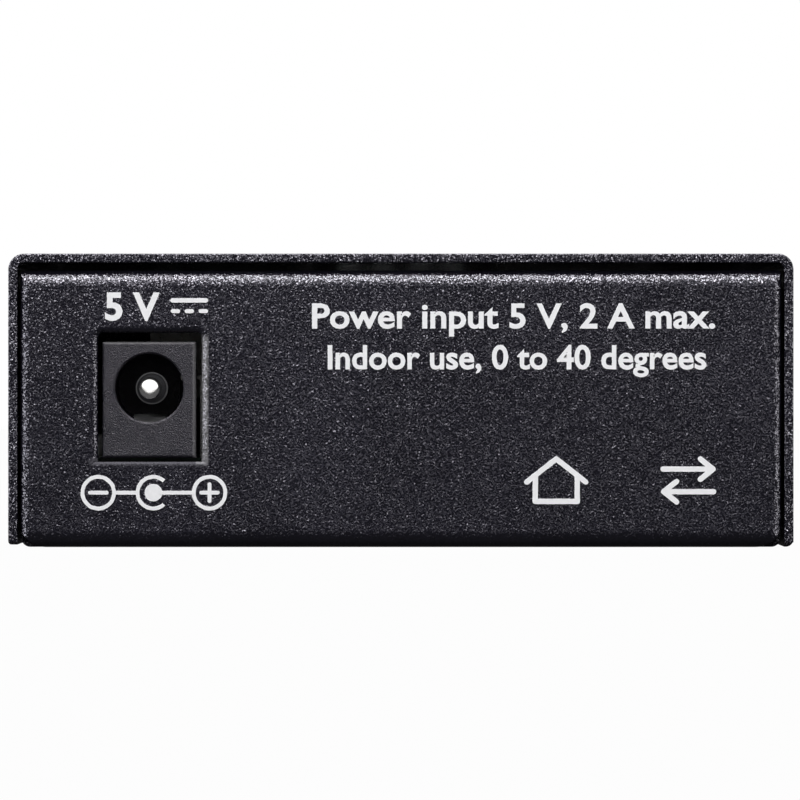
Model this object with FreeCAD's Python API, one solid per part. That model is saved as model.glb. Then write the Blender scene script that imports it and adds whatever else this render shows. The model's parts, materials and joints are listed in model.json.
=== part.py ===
import FreeCAD, Part
import os

# Fibre media converter in a folded steel case, millimetres.
# +Z is up, the power face looks along -Y and the port face along +Y.
# The origin is the middle of the footprint, on the plane the case rests on.

# ---- case -----------------------------------------------------------------
CASE_W = 73.0            # across the cover, X
CASE_D = 94.5            # length over the two end panels, Y
CASE_H = 27.3            # overall height, Z
COVER_T = 0.85           # cover sheet with its powder coat
COVER_R = 1.45           # outside radius of the two top bends
RIM_SOFT = 0.15          # broken edge round the cover's two open ends
COVER_FOOT_Z = 0.25      # the left wall stops this far above the table
COVER_FOOT_Z_RIGHT = 0.05
TRAY_T = 0.85            # tray sheet with its powder coat
TRAY_R = 0.85            # outside radius of the bends at the sides of the tray
PANEL_R = 1.5            # softer bends above and below each end panel
TRAY_CORNER_R = 0.45     # upper corners of each panel, seen from the end
PANEL_OUT = 0.3          # end panels stand this far out of the cover's rim
SIDE_GAP = 0.25          # daylight between cover and tray at the sides
TOP_GAP = 0.7            # the same under the roof
SIDE_WALL_H = 11.0       # low side walls of the tray
PANEL_FLANGE = 7.0       # depth of the returns bent off each end panel
CORNER_SLIT = 0.8        # slit between a panel return and the side wall
CORNER_R = 2.4           # rounding of the lower corners of each panel

SLIT_FOOT = 0.6          # corner slits and seams stop this far from the fold
SEAM_W = 0.5             # seam between the returns of a panel
SEAM_IN = 1.7            # outside of the tray to that seam

TRAY_HALF_X = CASE_W / 2 - COVER_T - SIDE_GAP
TRAY_HALF_Y = CASE_D / 2
COVER_D = CASE_D - 2 * PANEL_OUT
TRAY_TOP = CASE_H - COVER_T - TOP_GAP

# ---- cover screws and their nested dimples --------------------------------
M3_R = 1.5
SHANK_PLAY = 0.05        # drawn gap between a screw shank and its thread
COVER_SCREW_Z = 5.6
SINK_RIM_R = 3.0         # countersink radius on the cover's outer face
SINK_HOLE_R = 1.7
SINK_SLOPE_T = 0.8       # sum r+d between the two faces of the pressed cone
SINK_LAND = 0.3          # straight part of the hole behind the cone
NEST_PLAY = 0.05         # cover dimple to the joggled seat behind it
SEAT_HALF = 5.0          # half length of a joggled screw seat, along Y
SEAT_RAMP = 1.2          # length of the slope at each end of it
HEAD_DROP = 0.1          # screw head below the cover face
COVER_SCREW_LEN = 3.4

# ---- side vents -------------------------------------------------------------
VENT_COUNT = 9
VENT_PITCH = 5.0
VENT_W = 2.0
VENT_LOW = 12.5
VENT_HIGH = CASE_H - 4.8

# ---- circuit board ----------------------------------------------------------
PCB_SIDE_GAP = 1.45      # board edge to the inside of a side wall
PCB_END_GAP = 1.3        # board edge to the inside of an end panel
PCB_HALF_X = TRAY_HALF_X - TRAY_T - PCB_SIDE_GAP
PCB_HALF_Y = TRAY_HALF_Y - TRAY_T - PCB_END_GAP
PCB_T = 1.6
PCB_Z = 6.7              # underside
PCB_TOP = PCB_Z + PCB_T
PCB_HOLE_R = 1.6
PCB_SCREW_IN = 4.0       # screw centre to the board's long edge
PCB_SCREW_X = PCB_HALF_X - PCB_SCREW_IN
PCB_SCREWS = ((-PCB_SCREW_X, -0.45 * PCB_HALF_Y), (PCB_SCREW_X, -0.85 * PCB_HALF_Y),
              (-PCB_SCREW_X, 0.4 * PCB_HALF_Y), (PCB_SCREW_X, 0.4 * PCB_HALF_Y))
STANDOFF_FLATS = 5.5
STANDOFF_FOOT_FLATS = 4.2
STANDOFF_PLAY = 0.02
STANDOFF_SHY = 0.15      # foot behind the underside of the floor
STANDOFF_BORE = 4.8      # depth of the tapped hole
PCB_SCREW_LEN = 4.0
PCB_HEAD_R = 2.8
PCB_HEAD_H = 2.0

# ---- power jack, 5.5 x 2.1 mm pattern -----------------------------------------
JACK_X = -TRAY_HALF_X + 12.0
JACK_W = 8.7
JACK_H = 10.8
JACK_LEN = 14.4
JACK_AXIS_UP = 6.5       # axis above the board
JACK_FLANGE = 3.4        # depth of the square front block
JACK_BORE_R = 3.2
JACK_BORE_DEPTH = 9.6
JACK_MOUTH = 0.15        # chamfer round the mouth
JACK_PIN_R = 1.0
JACK_PIN_SHY = 0.7       # pin tip behind the face
JACK_PIN_LEN = 7.2       # tip to collar
JACK_COLLAR_R = 1.5
JACK_STEP = 0.3          # barrel and foot narrower than the front block
JACK_BACK = 0.7          # rear blade and rivet behind the moulding
JACK_WINDOW_HALF = 1.65  # half width of the slots the springs lie in
JACK_UNDER_IN = 8.1      # leg of the sleeve spring, behind the face
JACK_SIDE_IN = 11.0      # side blade, behind the face
JACK_SIDE_X = 4.7        # side blade, off the axis
JACK_LEG_LOW = 2.2       # legs reach this far below the board
JACK_LEG_T = 0.4
JACK_SLOT_HALF_W = 1.7   # slots in the board for the three legs
JACK_SLOT_HALF_T = 0.5
JACK_FACE_IN = 0.35      # face behind the panel's outer face
JACK_Z = PCB_TOP + JACK_AXIS_UP
JACK_Y = -TRAY_HALF_Y + JACK_FACE_IN
JACK_HOLE_W = 9.64       # punched hole round the jack's front
JACK_HOLE_X0 = JACK_X - JACK_HOLE_W / 2 + 0.06
JACK_HOLE_X1 = JACK_HOLE_X0 + JACK_HOLE_W
JACK_HOLE_Z0 = PCB_TOP - 0.36
JACK_HOLE_Z1 = PCB_TOP + JACK_H + 0.83
PUNCH_ROUND = 0.65       # rolled edge at the sides and the top of the jack's hole
PUNCH_ROUND_LOW = 0.28   # the same along its lower edge
JACK_HOLE_CORNER = 0.45  # its two upper corners

# ---- optical module cage ------------------------------------------------------
SFP_X = 0.51 * TRAY_HALF_X
SFP_W = 14.5
SFP_H = 9.5
SFP_T = 0.3
SFP_LEN = 48.8
SFP_Y1 = TRAY_HALF_Y
SFP_Y0 = SFP_Y1 - SFP_LEN
SFP_Z0 = PCB_TOP
CAGE_VENT = 2.6          # six-sided roof vents, across flats
CAGE_VENT_PITCH = 3.6
FINGER_T = 0.14          # grounding collar strip
FINGER_W = 1.5
FINGER_AIR = 0.05        # bowed finger to the edge of the hole
FINGER_PITCH_SIDE = 2.15
FINGER_PITCH_TOP = 2.25
CAGE_BEND_R = 0.5
CAGE_FLOOR_OPEN = 11.6   # open floor over the connector
EDGE_CONN_IN = 1.2       # connector in front of the cage's rear wall
EDGE_CONN_PITCH = 0.8
EDGE_CONN_WAYS = 10
SFP_HOLE_W = 16.2
SFP_HOLE_H = 11.1

# ---- copper port ----------------------------------------------------------------
RJ_X = -0.496 * TRAY_HALF_X
RJ_W = 16.0
RJ_H = 13.4
RJ_LEN = 21.0
RJ_Y1 = TRAY_HALF_Y
RJ_T = 0.3
RJ_HOLE_PLAY = 0.25
RJ_POST_HALF = 1.3
RJ_ROOF = 2.3            # outside top down to the plug cavity
RJ_PLUG_HALF_W = 5.95    # cavity for an eight-way plug
RJ_PLUG_H = 6.8
RJ_PITCH = 1.02
RJ_WAYS = 8
RJ_CAVITY_TOP = PCB_TOP + RJ_H - RJ_ROOF

# ---- mode switch block ------------------------------------------------------------
DIP_X = 0.0
DIP_COUNT = 4
DIP_PITCH = 2.54
DIP_W = 11.6
DIP_Z0 = PCB_TOP
DIP_H = 8.4
DIP_Y1 = TRAY_HALF_Y - TRAY_T - 0.1
DIP_FRONT_T = 1.0        # wall the knobs stick out through
DIP_DEPTH = 3.4
DIP_BASE_T = 1.4
KNOB_W = 1.3
KNOB_H = 2.0
KNOB_OUT = 0.95          # knob in front of the block
SLIDER_FOOT_W = 1.9
SLIDER_FOOT_H = 3.4
SLIDER_FOOT_T = 1.2
SLIDE_TRAVEL = 1.5
SLIDE_PLAY = 0.06
SLIDER_MID_Z = DIP_Z0 + 3.45   # centre of a slider when it is down
WINDOW_AIR = 0.7         # panel window round the knobs and their travel

# ---- light pipes --------------------------------------------------------------------
PIPE_PITCH = 3.6
PIPE_HALF_W = 0.9        # light bar seen in the panel, half its width
PIPE_HALF_H = 1.5
PIPE_Z = TRAY_TOP - 4.2
PIPE_HOLE_PLAY = 0.15
PIPE_Y_BACK = TRAY_HALF_Y - 9.55
RIB_HALF = 0.9           # rib that joins the light bars, and its two columns
COLUMN_HALF = 0.7
PEG_HALF = 0.5           # half width of the two board pegs
PEG_PLAY = 0.05          # peg or post to its hole in the board


def vec(x, y, z):
    return FreeCAD.Vector(x, y, z)


def box(x0, x1, y0, y1, z0, z1):
    return Part.makeBox(x1 - x0, y1 - y0, z1 - z0, vec(x0, y0, z0))


def rod(r, length, base, axis):
    return Part.makeCylinder(r, length, base, axis)


def join(shapes):
    """One clean solid out of overlapping or touching ones."""
    first = shapes[0]
    if len(shapes) > 1:
        first = first.fuse(shapes[1:])
    return first.removeSplitter()


def carve(shape, tools):
    return shape.cut(tools).removeSplitter()


def group(shapes):
    """Separate solids kept in one file."""
    solids = []
    for shape in shapes:
        solids.extend(shape.Solids)
    return Part.makeCompound(solids)


def one(shape):
    solids = shape.Solids
    if len(solids) != 1:
        raise RuntimeError("expected one solid, got %d" % len(solids))
    return solids[0]


def prism(points, along):
    """Flat outline swept straight along a vector."""
    pts = [vec(*p) for p in points]
    wire = Part.makePolygon(pts + [pts[0]])
    return Part.Face(wire).extrude(vec(*along))


def spin(profile, base, axis, up):
    """Turn an (r, d) outline about axis, d measured along it from base."""
    base = vec(*base)
    axis = vec(*axis)
    side = vec(*up)
    pts = [base + side * r + axis * d for r, d in profile]
    wire = Part.makePolygon(pts + [pts[0]])
    return Part.Face(wire).revolve(base, axis, 360)


def edges_where(shape, test):
    found = []
    for edge in shape.Edges:
        if test(edge):
            found.append(edge)
    return found


def straight_along(edge, axis):
    """True for a straight edge parallel to axis 0, 1 or 2."""
    if edge.Curve.TypeId != "Part::GeomLine":
        return False
    a = edge.Vertexes[0].Point
    b = edge.Vertexes[-1].Point
    d = b - a
    parts = [abs(d.x), abs(d.y), abs(d.z)]
    return parts[axis] > 0.999 * d.Length


def rounded_block(x0, x1, y0, y1, z0, z1, r, axis):
    """Block with its four edges along one axis rounded."""
    block = box(x0, x1, y0, y1, z0, z1)
    edges = edges_where(block, lambda e: straight_along(e, axis))
    return block.makeFillet(r, edges)


def slot_tool(x0, x1, y0, y1, z0, z1, axis):
    """Block with full-round ends, for a slot punched along one axis."""
    sizes = [x1 - x0, y1 - y0, z1 - z0]
    others = [sizes[i] for i in range(3) if i != axis]
    return rounded_block(x0, x1, y0, y1, z0, z1, min(others) / 2 - 0.001, axis)


# ---- case -----------------------------------------------------------------------

def sink_profile_cover(deep):
    """Outline of the cone pressed into the cover, from its outer face to its inner one."""
    rim = SINK_RIM_R
    hole = SINK_HOLE_R
    land = rim - hole
    back = land + SINK_LAND
    outer = rim + SINK_SLOPE_T
    return [(hole, land), (rim, 0.0), (outer - deep, deep), (outer - back, back), (hole, back)]


def dimple_cover(sign, y):
    """Cone pressed into one wall of the cover: the hole it leaves and the metal to set in."""
    base = (sign * CASE_W / 2, y, COVER_SCREW_Z)
    axis = (-sign, 0, 0)
    profile = sink_profile_cover(COVER_T)
    blank = [(0, -1.0), (SINK_RIM_R, -1.0)] + profile[1:3] + [(0, COVER_T)]
    return spin(blank, base, axis, (0, 0, 1)), spin(profile, base, axis, (0, 0, 1))


def screw_seat(sign, y):
    """Part of a side wall stepped inwards to clear the cover's dimple, tapped in its middle."""
    seat_in = SINK_RIM_R - SINK_HOLE_R + SINK_LAND + NEST_PLAY
    x_wall = TRAY_HALF_X
    x_seat = CASE_W / 2 - seat_in
    a = SEAT_HALF
    b = SEAT_HALF + SEAT_RAMP
    t = TRAY_T
    outline = [(x_wall, -b), (x_seat, -a), (x_seat, a), (x_wall, b), (x_wall - t, b),
               (x_seat - t, a), (x_seat - t, -a), (x_wall - t, -b)]
    low = TRAY_R + 0.2
    metal = prism([(sign * px, y + py, low) for px, py in outline], (0, 0, SIDE_WALL_H - low))
    x0 = min(sign * (x_wall - t - 0.01), sign * (x_wall + 1))
    window = box(x0, x0 + t + 1.01, y - b, y + b, low, SIDE_WALL_H + 1)
    hole = rod(M3_R, 8, vec(sign * (x_wall + 2), y, COVER_SCREW_Z), vec(-sign, 0, 0))
    return window, metal, hole


def screw_places():
    """Side of the case, and place along it, of each screw that holds the cover."""
    return ((-1, 0.0), (1, 0.0))


def cover_section():
    """Upside-down U with bent top corners and the two slightly different feet."""
    half = CASE_W / 2
    outer = rounded_block(-half, half, 0, COVER_D, -CASE_H, CASE_H, COVER_R, 1)
    r_in = COVER_R - COVER_T
    inner = rounded_block(-half + COVER_T, half - COVER_T, -1, COVER_D + 1,
                          -CASE_H + COVER_T, CASE_H - COVER_T, r_in, 1)
    section = outer.cut(inner)
    floor_cut = box(-half - 1, 0, -1, COVER_D + 1, -CASE_H - 1, COVER_FOOT_Z)
    floor_cut_right = box(0, half + 1, -1, COVER_D + 1, -CASE_H - 1, COVER_FOOT_Z_RIGHT)
    section = section.cut([floor_cut, floor_cut_right])
    section.translate(vec(0, -COVER_D / 2, 0))
    return one(section)


def round_cover_feet(cover):
    """Soft rounding on the lower outside edge of each wall."""
    half = CASE_W / 2

    def left(e):
        return straight_along(e, 1) and e.CenterOfMass.x < -half + 0.01 and e.CenterOfMass.z < 1

    def right(e):
        return straight_along(e, 1) and e.CenterOfMass.x > half - 0.01 and e.CenterOfMass.z < 1

    cover = cover.makeFillet(0.3, edges_where(cover, left))
    return cover.makeFillet(0.7, edges_where(cover, right))


def vent_tools():
    """Upright slots through both walls of the cover."""
    tools = []
    first = -(VENT_COUNT - 1) / 2 * VENT_PITCH
    for sign in (-1, 1):
        x_mid = sign * (CASE_W / 2 - COVER_T / 2)
        for i in range(VENT_COUNT):
            y = first + i * VENT_PITCH
            tools.append(box(x_mid - 1.5, x_mid + 1.5, y - VENT_W / 2, y + VENT_W / 2,
                             VENT_LOW, VENT_HIGH))
    return tools


def top_cover():
    """Bent cover with side vents and pressed screw seats."""
    cover = round_cover_feet(cover_section())
    metal = []
    voids = []
    for sign, y in screw_places():
        blank, cone = dimple_cover(sign, y)
        voids.append(blank)
        metal.append(cone)
    cover = join([cover.cut(voids + vent_tools())] + metal)
    rims = edges_where(cover, lambda e: abs(abs(e.CenterOfMass.y) - COVER_D / 2) < 0.001
                       and abs(e.BoundBox.YLength) < 0.001 and is_outer_rim(e))
    return one(cover.makeChamfer(RIM_SOFT, rims))


def is_outer_rim(edge):
    """Edges of the cover's end faces that lie on its outside skin."""
    b = edge.BoundBox
    half = CASE_W / 2
    if b.ZMin > CASE_H - COVER_R - 0.01 and b.ZMax > CASE_H - COVER_T / 2:
        return True
    far = max(abs(b.XMin), abs(b.XMax))
    return far > half - 0.01 and b.ZMin > 0.5 and b.ZLength > 5


def tray_shell():
    """Closed folded box before its top and sides are opened."""
    hx = TRAY_HALF_X
    hy = TRAY_HALF_Y
    from_side = two_radius_block(hx, hy, 0, PANEL_R, PANEL_R)
    from_end = two_radius_block(hx, hy, 1, TRAY_R, TRAY_CORNER_R)
    from_above = rounded_block(-hx, hx, -hy, hy, 0, TRAY_TOP, TRAY_R, 2)
    t = TRAY_T
    inner = rounded_block(-hx + t, hx - t, -hy + t, hy - t, t, TRAY_TOP - t, PANEL_R - t, 0)
    return from_side.common(from_end).common(from_above).cut(inner)


def two_radius_block(hx, hy, axis, r_low, r_high):
    """Block as big as the tray whose edges along one axis are rounded, low and high ones apart."""
    block = box(-hx, hx, -hy, hy, 0, TRAY_TOP)
    middle = TRAY_TOP / 2
    low = edges_where(block, lambda e: straight_along(e, axis) and e.CenterOfMass.z < middle)
    block = block.makeFillet(r_low, low)
    high = edges_where(block, lambda e: straight_along(e, axis) and e.CenterOfMass.z > TRAY_TOP - 0.01)
    return block.makeFillet(r_high, high)


def tray_openings():
    """What is left open between the side walls and the two end panels."""
    hx = TRAY_HALF_X
    hy = TRAY_HALF_Y
    run = hy - PANEL_FLANGE
    tools = [box(-hx - 1, hx + 1, -run, run, SIDE_WALL_H, CASE_H)]
    for sx in (-1, 1):
        for sy in (-1, 1):
            y0 = min(sy * run, sy * (run - CORNER_SLIT))
            x0 = min(sx * (hx + 1), sx * (hx - TRAY_T - SLIT_FOOT))
            tools.append(box(x0, x0 + 1 + SLIT_FOOT + TRAY_T, y0, y0 + CORNER_SLIT,
                             TRAY_T + SLIT_FOOT, CASE_H))
            tools.append(mitre_slit(sx, sy))
    return tools


def mitre_slit(sx, sy):
    """Narrow open seam between the top return and the side return of a panel."""
    hx = TRAY_HALF_X
    hy = TRAY_HALF_Y
    x0 = min(sx * (hx - SEAM_IN - SEAM_W), sx * (hx - SEAM_IN))
    y0 = min(sy * (hy - TRAY_R - 0.4), sy * (hy - PANEL_FLANGE - 1))
    return box(x0, x0 + SEAM_W, y0, y0 + PANEL_FLANGE + 1 - TRAY_R - 0.4,
               TRAY_TOP - TRAY_T - SLIT_FOOT, CASE_H)


def panel_corner_tools():
    """Rounds the two lower corners of each end panel, seen from the end."""
    hx = TRAY_HALF_X
    hy = TRAY_HALF_Y
    r = CORNER_R
    tools = []
    for sx in (-1, 1):
        x0 = min(sx * (hx - r), sx * (hx + 1))
        corner = box(x0, x0 + r + 1, -hy - 1, hy + 1, -1, r)
        keep = rod(r, 2 * hy + 4, vec(sx * (hx - r), -hy - 2, r), vec(0, 1, 0))
        corner = corner.cut(keep)
        for sy in (-1, 1):
            y0 = min(sy * (hy + 1), sy * (hy - 2.6))
            tools.append(corner.common(box(-hx - 2, hx + 2, y0, y0 + 3.6, -2, r + 1)))
    return tools


def roll_edges(tray, x0, x1, z0, z1, sign):
    """Rounds the outer edge of one punched hole in an end panel."""
    y_out = sign * TRAY_HALF_Y

    def on_edge(e):
        b = e.BoundBox
        flat = abs(b.YMin - y_out) < 0.001 and abs(b.YMax - y_out) < 0.001
        inside = b.XMin > x0 - 0.01 and b.XMax < x1 + 0.01 and b.ZMin > z0 - 0.01 and b.ZMax < z1 + 0.01
        return flat and inside

    def on_upright(e):
        return on_edge(e) and e.BoundBox.XMin > x1 - 0.01

    # The roll runs on from one upright round the soft corners to the other.
    tray = tray.makeFillet(PUNCH_ROUND, edges_where(tray, on_upright))
    return tray.makeFillet(PUNCH_ROUND_LOW, edges_where(tray, on_edge))


def panel_hole(x0, x1, z0, z1, sign):
    y_out = sign * TRAY_HALF_Y
    return box(x0, x1, y_out - 2, y_out + 2, z0, z1)


def jack_hole_tool(place):
    """Punch for the power jack's hole, its upper corners rounded."""
    tool = panel_hole(*place, -1)
    upper = edges_where(tool, lambda e: straight_along(e, 1) and e.CenterOfMass.z > JACK_HOLE_Z1 - 0.01)
    return tool.makeFillet(JACK_HOLE_CORNER, upper)


def sfp_hole():
    z_mid = SFP_Z0 + SFP_H / 2
    return (SFP_X - SFP_HOLE_W / 2, SFP_X + SFP_HOLE_W / 2, z_mid - SFP_HOLE_H / 2, z_mid + SFP_HOLE_H / 2)


def rj_hole():
    p = RJ_HOLE_PLAY
    return (RJ_X - RJ_W / 2 - p, RJ_X + RJ_W / 2 + p, PCB_TOP - p, PCB_TOP + RJ_H + p)


def dip_hole():
    half = DIP_PITCH * (DIP_COUNT - 1) / 2 + KNOB_W / 2 + WINDOW_AIR
    mid = SLIDER_MID_Z + SLIDE_TRAVEL / 2
    tall = (KNOB_H + SLIDE_TRAVEL) / 2 + WINDOW_AIR
    return (DIP_X - half, DIP_X + half, mid - tall, mid + tall)


def pipe_hole(x):
    half_w = PIPE_HALF_W + PIPE_HOLE_PLAY
    half_h = PIPE_HALF_H + PIPE_HOLE_PLAY
    return (x - half_w, x + half_w, PIPE_Z - half_h, PIPE_Z + half_h)


def pipe_xs():
    return [DIP_X + (i - 1.5) * PIPE_PITCH for i in range(4)]


def base_tray():
    """Floor, both end panels, their returns, low side walls and every punched hole."""
    tray = tray_shell().cut(tray_openings())
    tray = tray.cut(panel_corner_tools())
    seats = [screw_seat(sign, y) for sign, y in screw_places()]
    tray = tray.cut([seat[0] for seat in seats])
    tray = tray.fuse([seat[1] for seat in seats])
    voids = [seat[2] for seat in seats]
    jack_hole = (JACK_HOLE_X0, JACK_HOLE_X1, JACK_HOLE_Z0, JACK_HOLE_Z1)
    voids.append(jack_hole_tool(jack_hole))
    for hole in [sfp_hole(), rj_hole(), dip_hole()] + [pipe_hole(x) for x in pipe_xs()]:
        voids.append(panel_hole(*hole, 1))
    for x, y in PCB_SCREWS:
        voids.append(hex_rod(STANDOFF_FOOT_FLATS + 2 * STANDOFF_PLAY, x, y, -1, TRAY_T + 1))
    tray = carve(tray, voids)
    tray = roll_edges(tray, *jack_hole, -1)
    return one(tray)


def cover_screw(sign, y):
    """Flush countersunk M3 screw."""
    base = (sign * CASE_W / 2, y, COVER_SCREW_Z)
    axis = (-sign, 0, 0)
    shank = M3_R - SHANK_PLAY
    slope = SINK_RIM_R - 0.05
    rim = slope - HEAD_DROP
    profile = [(0, HEAD_DROP), (rim, HEAD_DROP), (shank, slope - shank), (shank, COVER_SCREW_LEN),
               (0, COVER_SCREW_LEN)]
    return one(spin(profile, base, axis, (0, 0, 1)))


def cover_screws():
    return group([cover_screw(sign, y) for sign, y in screw_places()])


# ---- board and what holds it ------------------------------------------------------

def standoff(x, y):
    """Six-sided press-in spacer, its foot flush with the underside of the floor."""
    body = hex_rod(STANDOFF_FLATS, x, y, TRAY_T, PCB_Z)
    foot = hex_rod(STANDOFF_FOOT_FLATS, x, y, STANDOFF_SHY, TRAY_T)
    bore = rod(M3_R, PCB_Z, vec(x, y, PCB_Z - STANDOFF_BORE), vec(0, 0, 1))
    return one(join([body, foot]).cut(bore))


def hex_rod(flats, x, y, z0, z1):
    """Upright six-sided bar, measured across its flats."""
    reach = flats / 3 ** 0.5
    pts = []
    for cx, cy in ((1, 0), (0.5, 0.75 ** 0.5), (-0.5, 0.75 ** 0.5), (-1, 0), (-0.5, -0.75 ** 0.5),
                   (0.5, -0.75 ** 0.5)):
        pts.append((x + reach * cx, y + reach * cy, z0))
    return prism(pts, (0, 0, z1 - z0))


def pcb_standoffs():
    return group([standoff(x, y) for x, y in PCB_SCREWS])


def pcb_screw(x, y):
    """Cheese-head M3 screw holding the board down."""
    shank = M3_R - SHANK_PLAY
    z = PCB_TOP
    top = z + PCB_HEAD_H
    low = PCB_Z - PCB_SCREW_LEN
    profile = [(0, low), (shank, low), (shank, z), (PCB_HEAD_R, z), (PCB_HEAD_R, top), (0, top)]
    return one(spin(profile, (x, y, 0), (0, 0, 1), (1, 0, 0)))


def pcb_screws():
    return group([pcb_screw(x, y) for x, y in PCB_SCREWS])


def circuit_board():
    """Board outline with screw holes, jack slots and locating holes."""
    board = box(-PCB_HALF_X, PCB_HALF_X, -PCB_HALF_Y, PCB_HALF_Y, PCB_Z, PCB_TOP)
    tools = []
    for x, y in PCB_SCREWS:
        tools.append(rod(PCB_HOLE_R, 4, vec(x, y, PCB_Z - 1), vec(0, 0, 1)))
    for x0, x1, y0, y1 in jack_slots():
        tools.append(box(x0, x1, y0, y1, PCB_Z - 1, PCB_TOP + 1))
    pegs = [(x, y, RJ_POST_HALF) for x, y in rj_posts()] + [(x, y, PEG_HALF) for x, y in pipe_pegs()]
    for x, y, half in pegs:
        r = half + PEG_PLAY
        tools.append(box(x - r, x + r, y - r, y + r, PCB_Z - 1, PCB_TOP + 1))
    return one(carve(board, tools))


# ---- power jack ----------------------------------------------------------------------

def jack_slots():
    """Board slots for the three blades of the jack: rear, under and side."""
    rear = JACK_Y + JACK_LEN - JACK_BACK / 2
    under = JACK_Y + JACK_UNDER_IN
    side_y = JACK_Y + JACK_SIDE_IN
    side_x = JACK_X + JACK_SIDE_X
    w = JACK_SLOT_HALF_W
    t = JACK_SLOT_HALF_T
    return ((JACK_X - w, JACK_X + w, rear - t, rear + t),
            (JACK_X - w, JACK_X + w, under - t, under + t),
            (side_x - t, side_x + t, side_y - w, side_y + w))


def dc_jack_housing():
    """Square front block, barrel behind it, bore, spring slot and side window."""
    x = JACK_X
    y = JACK_Y
    z = JACK_Z
    half = JACK_W / 2
    front = box(x - half, x + half, y, y + JACK_FLANGE, PCB_TOP, PCB_TOP + JACK_H)
    rim = edges_where(front, lambda e: abs(e.BoundBox.YMax - y) < 0.001)
    front = front.makeFillet(0.3, rim)
    back_len = JACK_LEN - JACK_FLANGE - JACK_BACK
    slim = half - JACK_STEP
    lower = box(x - slim, x + slim, y + JACK_FLANGE, y + JACK_FLANGE + back_len, PCB_TOP, z)
    barrel = rod(slim, back_len, vec(x, y + JACK_FLANGE, z), vec(0, 1, 0))
    rib = box(x - 0.6, x + 0.6, y + JACK_FLANGE, y + JACK_FLANGE + back_len, z, PCB_TOP + JACK_H - 0.2)
    body = join([front, lower, barrel, rib])
    mouth = JACK_BORE_R + JACK_MOUTH
    bore = [(0, -1), (mouth, -1), (mouth, 0), (JACK_BORE_R, JACK_MOUTH), (JACK_BORE_R, JACK_BORE_DEPTH),
            (0, JACK_BORE_DEPTH)]
    tools = [spin(bore, (x, y, z), (0, 1, 0), (1, 0, 0))]
    w = JACK_WINDOW_HALF
    tools.append(box(x - w, x + w, y + 0.9, y + JACK_BORE_DEPTH, z - 3.9, z - 2.0))
    tools.append(box(x - w, x + w, y + JACK_UNDER_IN - 0.6, y + JACK_UNDER_IN + 0.6, PCB_TOP - 1, z - 3.0))
    tools.append(box(x + 2.6, x + 6, y + JACK_SIDE_IN - 1.8, y + JACK_SIDE_IN + 1.8, PCB_TOP - 1, z + 2.0))
    tools.append(rod(JACK_PIN_R + 0.02, 8, vec(x, y + JACK_BORE_DEPTH - 1, z), vec(0, 1, 0)))
    return one(carve(body, tools))


def dc_jack_centre_pin():
    """Turned pin with a rounded tip and a collar, riveted to its rear blade."""
    x = JACK_X
    y = JACK_Y
    z = JACK_Z
    tip = JACK_PIN_SHY
    rear = JACK_LEN - JACK_BACK
    r = JACK_PIN_R
    shoulder = tip + JACK_PIN_LEN
    end = JACK_BORE_DEPTH
    profile = [(0, tip), (r * 0.6, tip + 0.05), (r * 0.95, tip + 0.6), (r, tip + 0.9), (r, shoulder),
               (JACK_COLLAR_R, shoulder), (JACK_COLLAR_R, end), (r, end), (r, JACK_LEN), (0, JACK_LEN)]
    pin = spin(profile, (x, y, z), (0, 1, 0), (1, 0, 0))
    t = JACK_LEG_T
    blade = box(x - 2.4, x + 2.4, y + rear, y + rear + t, PCB_TOP + 1.2, z + 2.4)
    leg = box(x - 1.5, x + 1.5, y + rear, y + rear + t, PCB_Z - JACK_LEG_LOW, PCB_TOP + 1.2)
    return one(join([pin, blade, leg]))


def dc_jack_sleeve_spring():
    """Bowed leaf that rubs on the plug's sleeve, with its blade through the board."""
    x = JACK_X
    y = JACK_Y
    z = JACK_Z
    t = 0.3
    top = [(1.3, -3.25), (2.4, -2.75), (4.4, -2.42), (6.2, -2.75), (7.8, -3.3), (8.2, -3.5)]
    under = [(a, b - t) for a, b in reversed(top)]
    low = PCB_Z - JACK_LEG_LOW - z
    leg = [(8.2, low), (8.2 - t, low), (8.2 - t, -3.3 - t)]
    points = [(x - 1.5, y + a, z + b) for a, b in top + leg + under[2:]]
    return one(prism(points, (3.0, 0, 0)))


def dc_jack_switch_contact():
    """Side blade that rests against the sleeve spring's circuit when nothing is plugged in."""
    x = JACK_X + JACK_SIDE_X
    y = JACK_Y + JACK_SIDE_IN
    t = JACK_LEG_T
    plate = box(x - t / 2, x + t / 2, y - 1.5, y + 1.5, PCB_Z - JACK_LEG_LOW, JACK_Z + 1.2)
    arm = box(JACK_X + 2.7, x - t / 2, y - 1.5, y + 1.5, JACK_Z + 1.2 - t, JACK_Z + 1.2)
    return one(join([plate, arm]))


# ---- optical module cage -----------------------------------------------------------------

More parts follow.
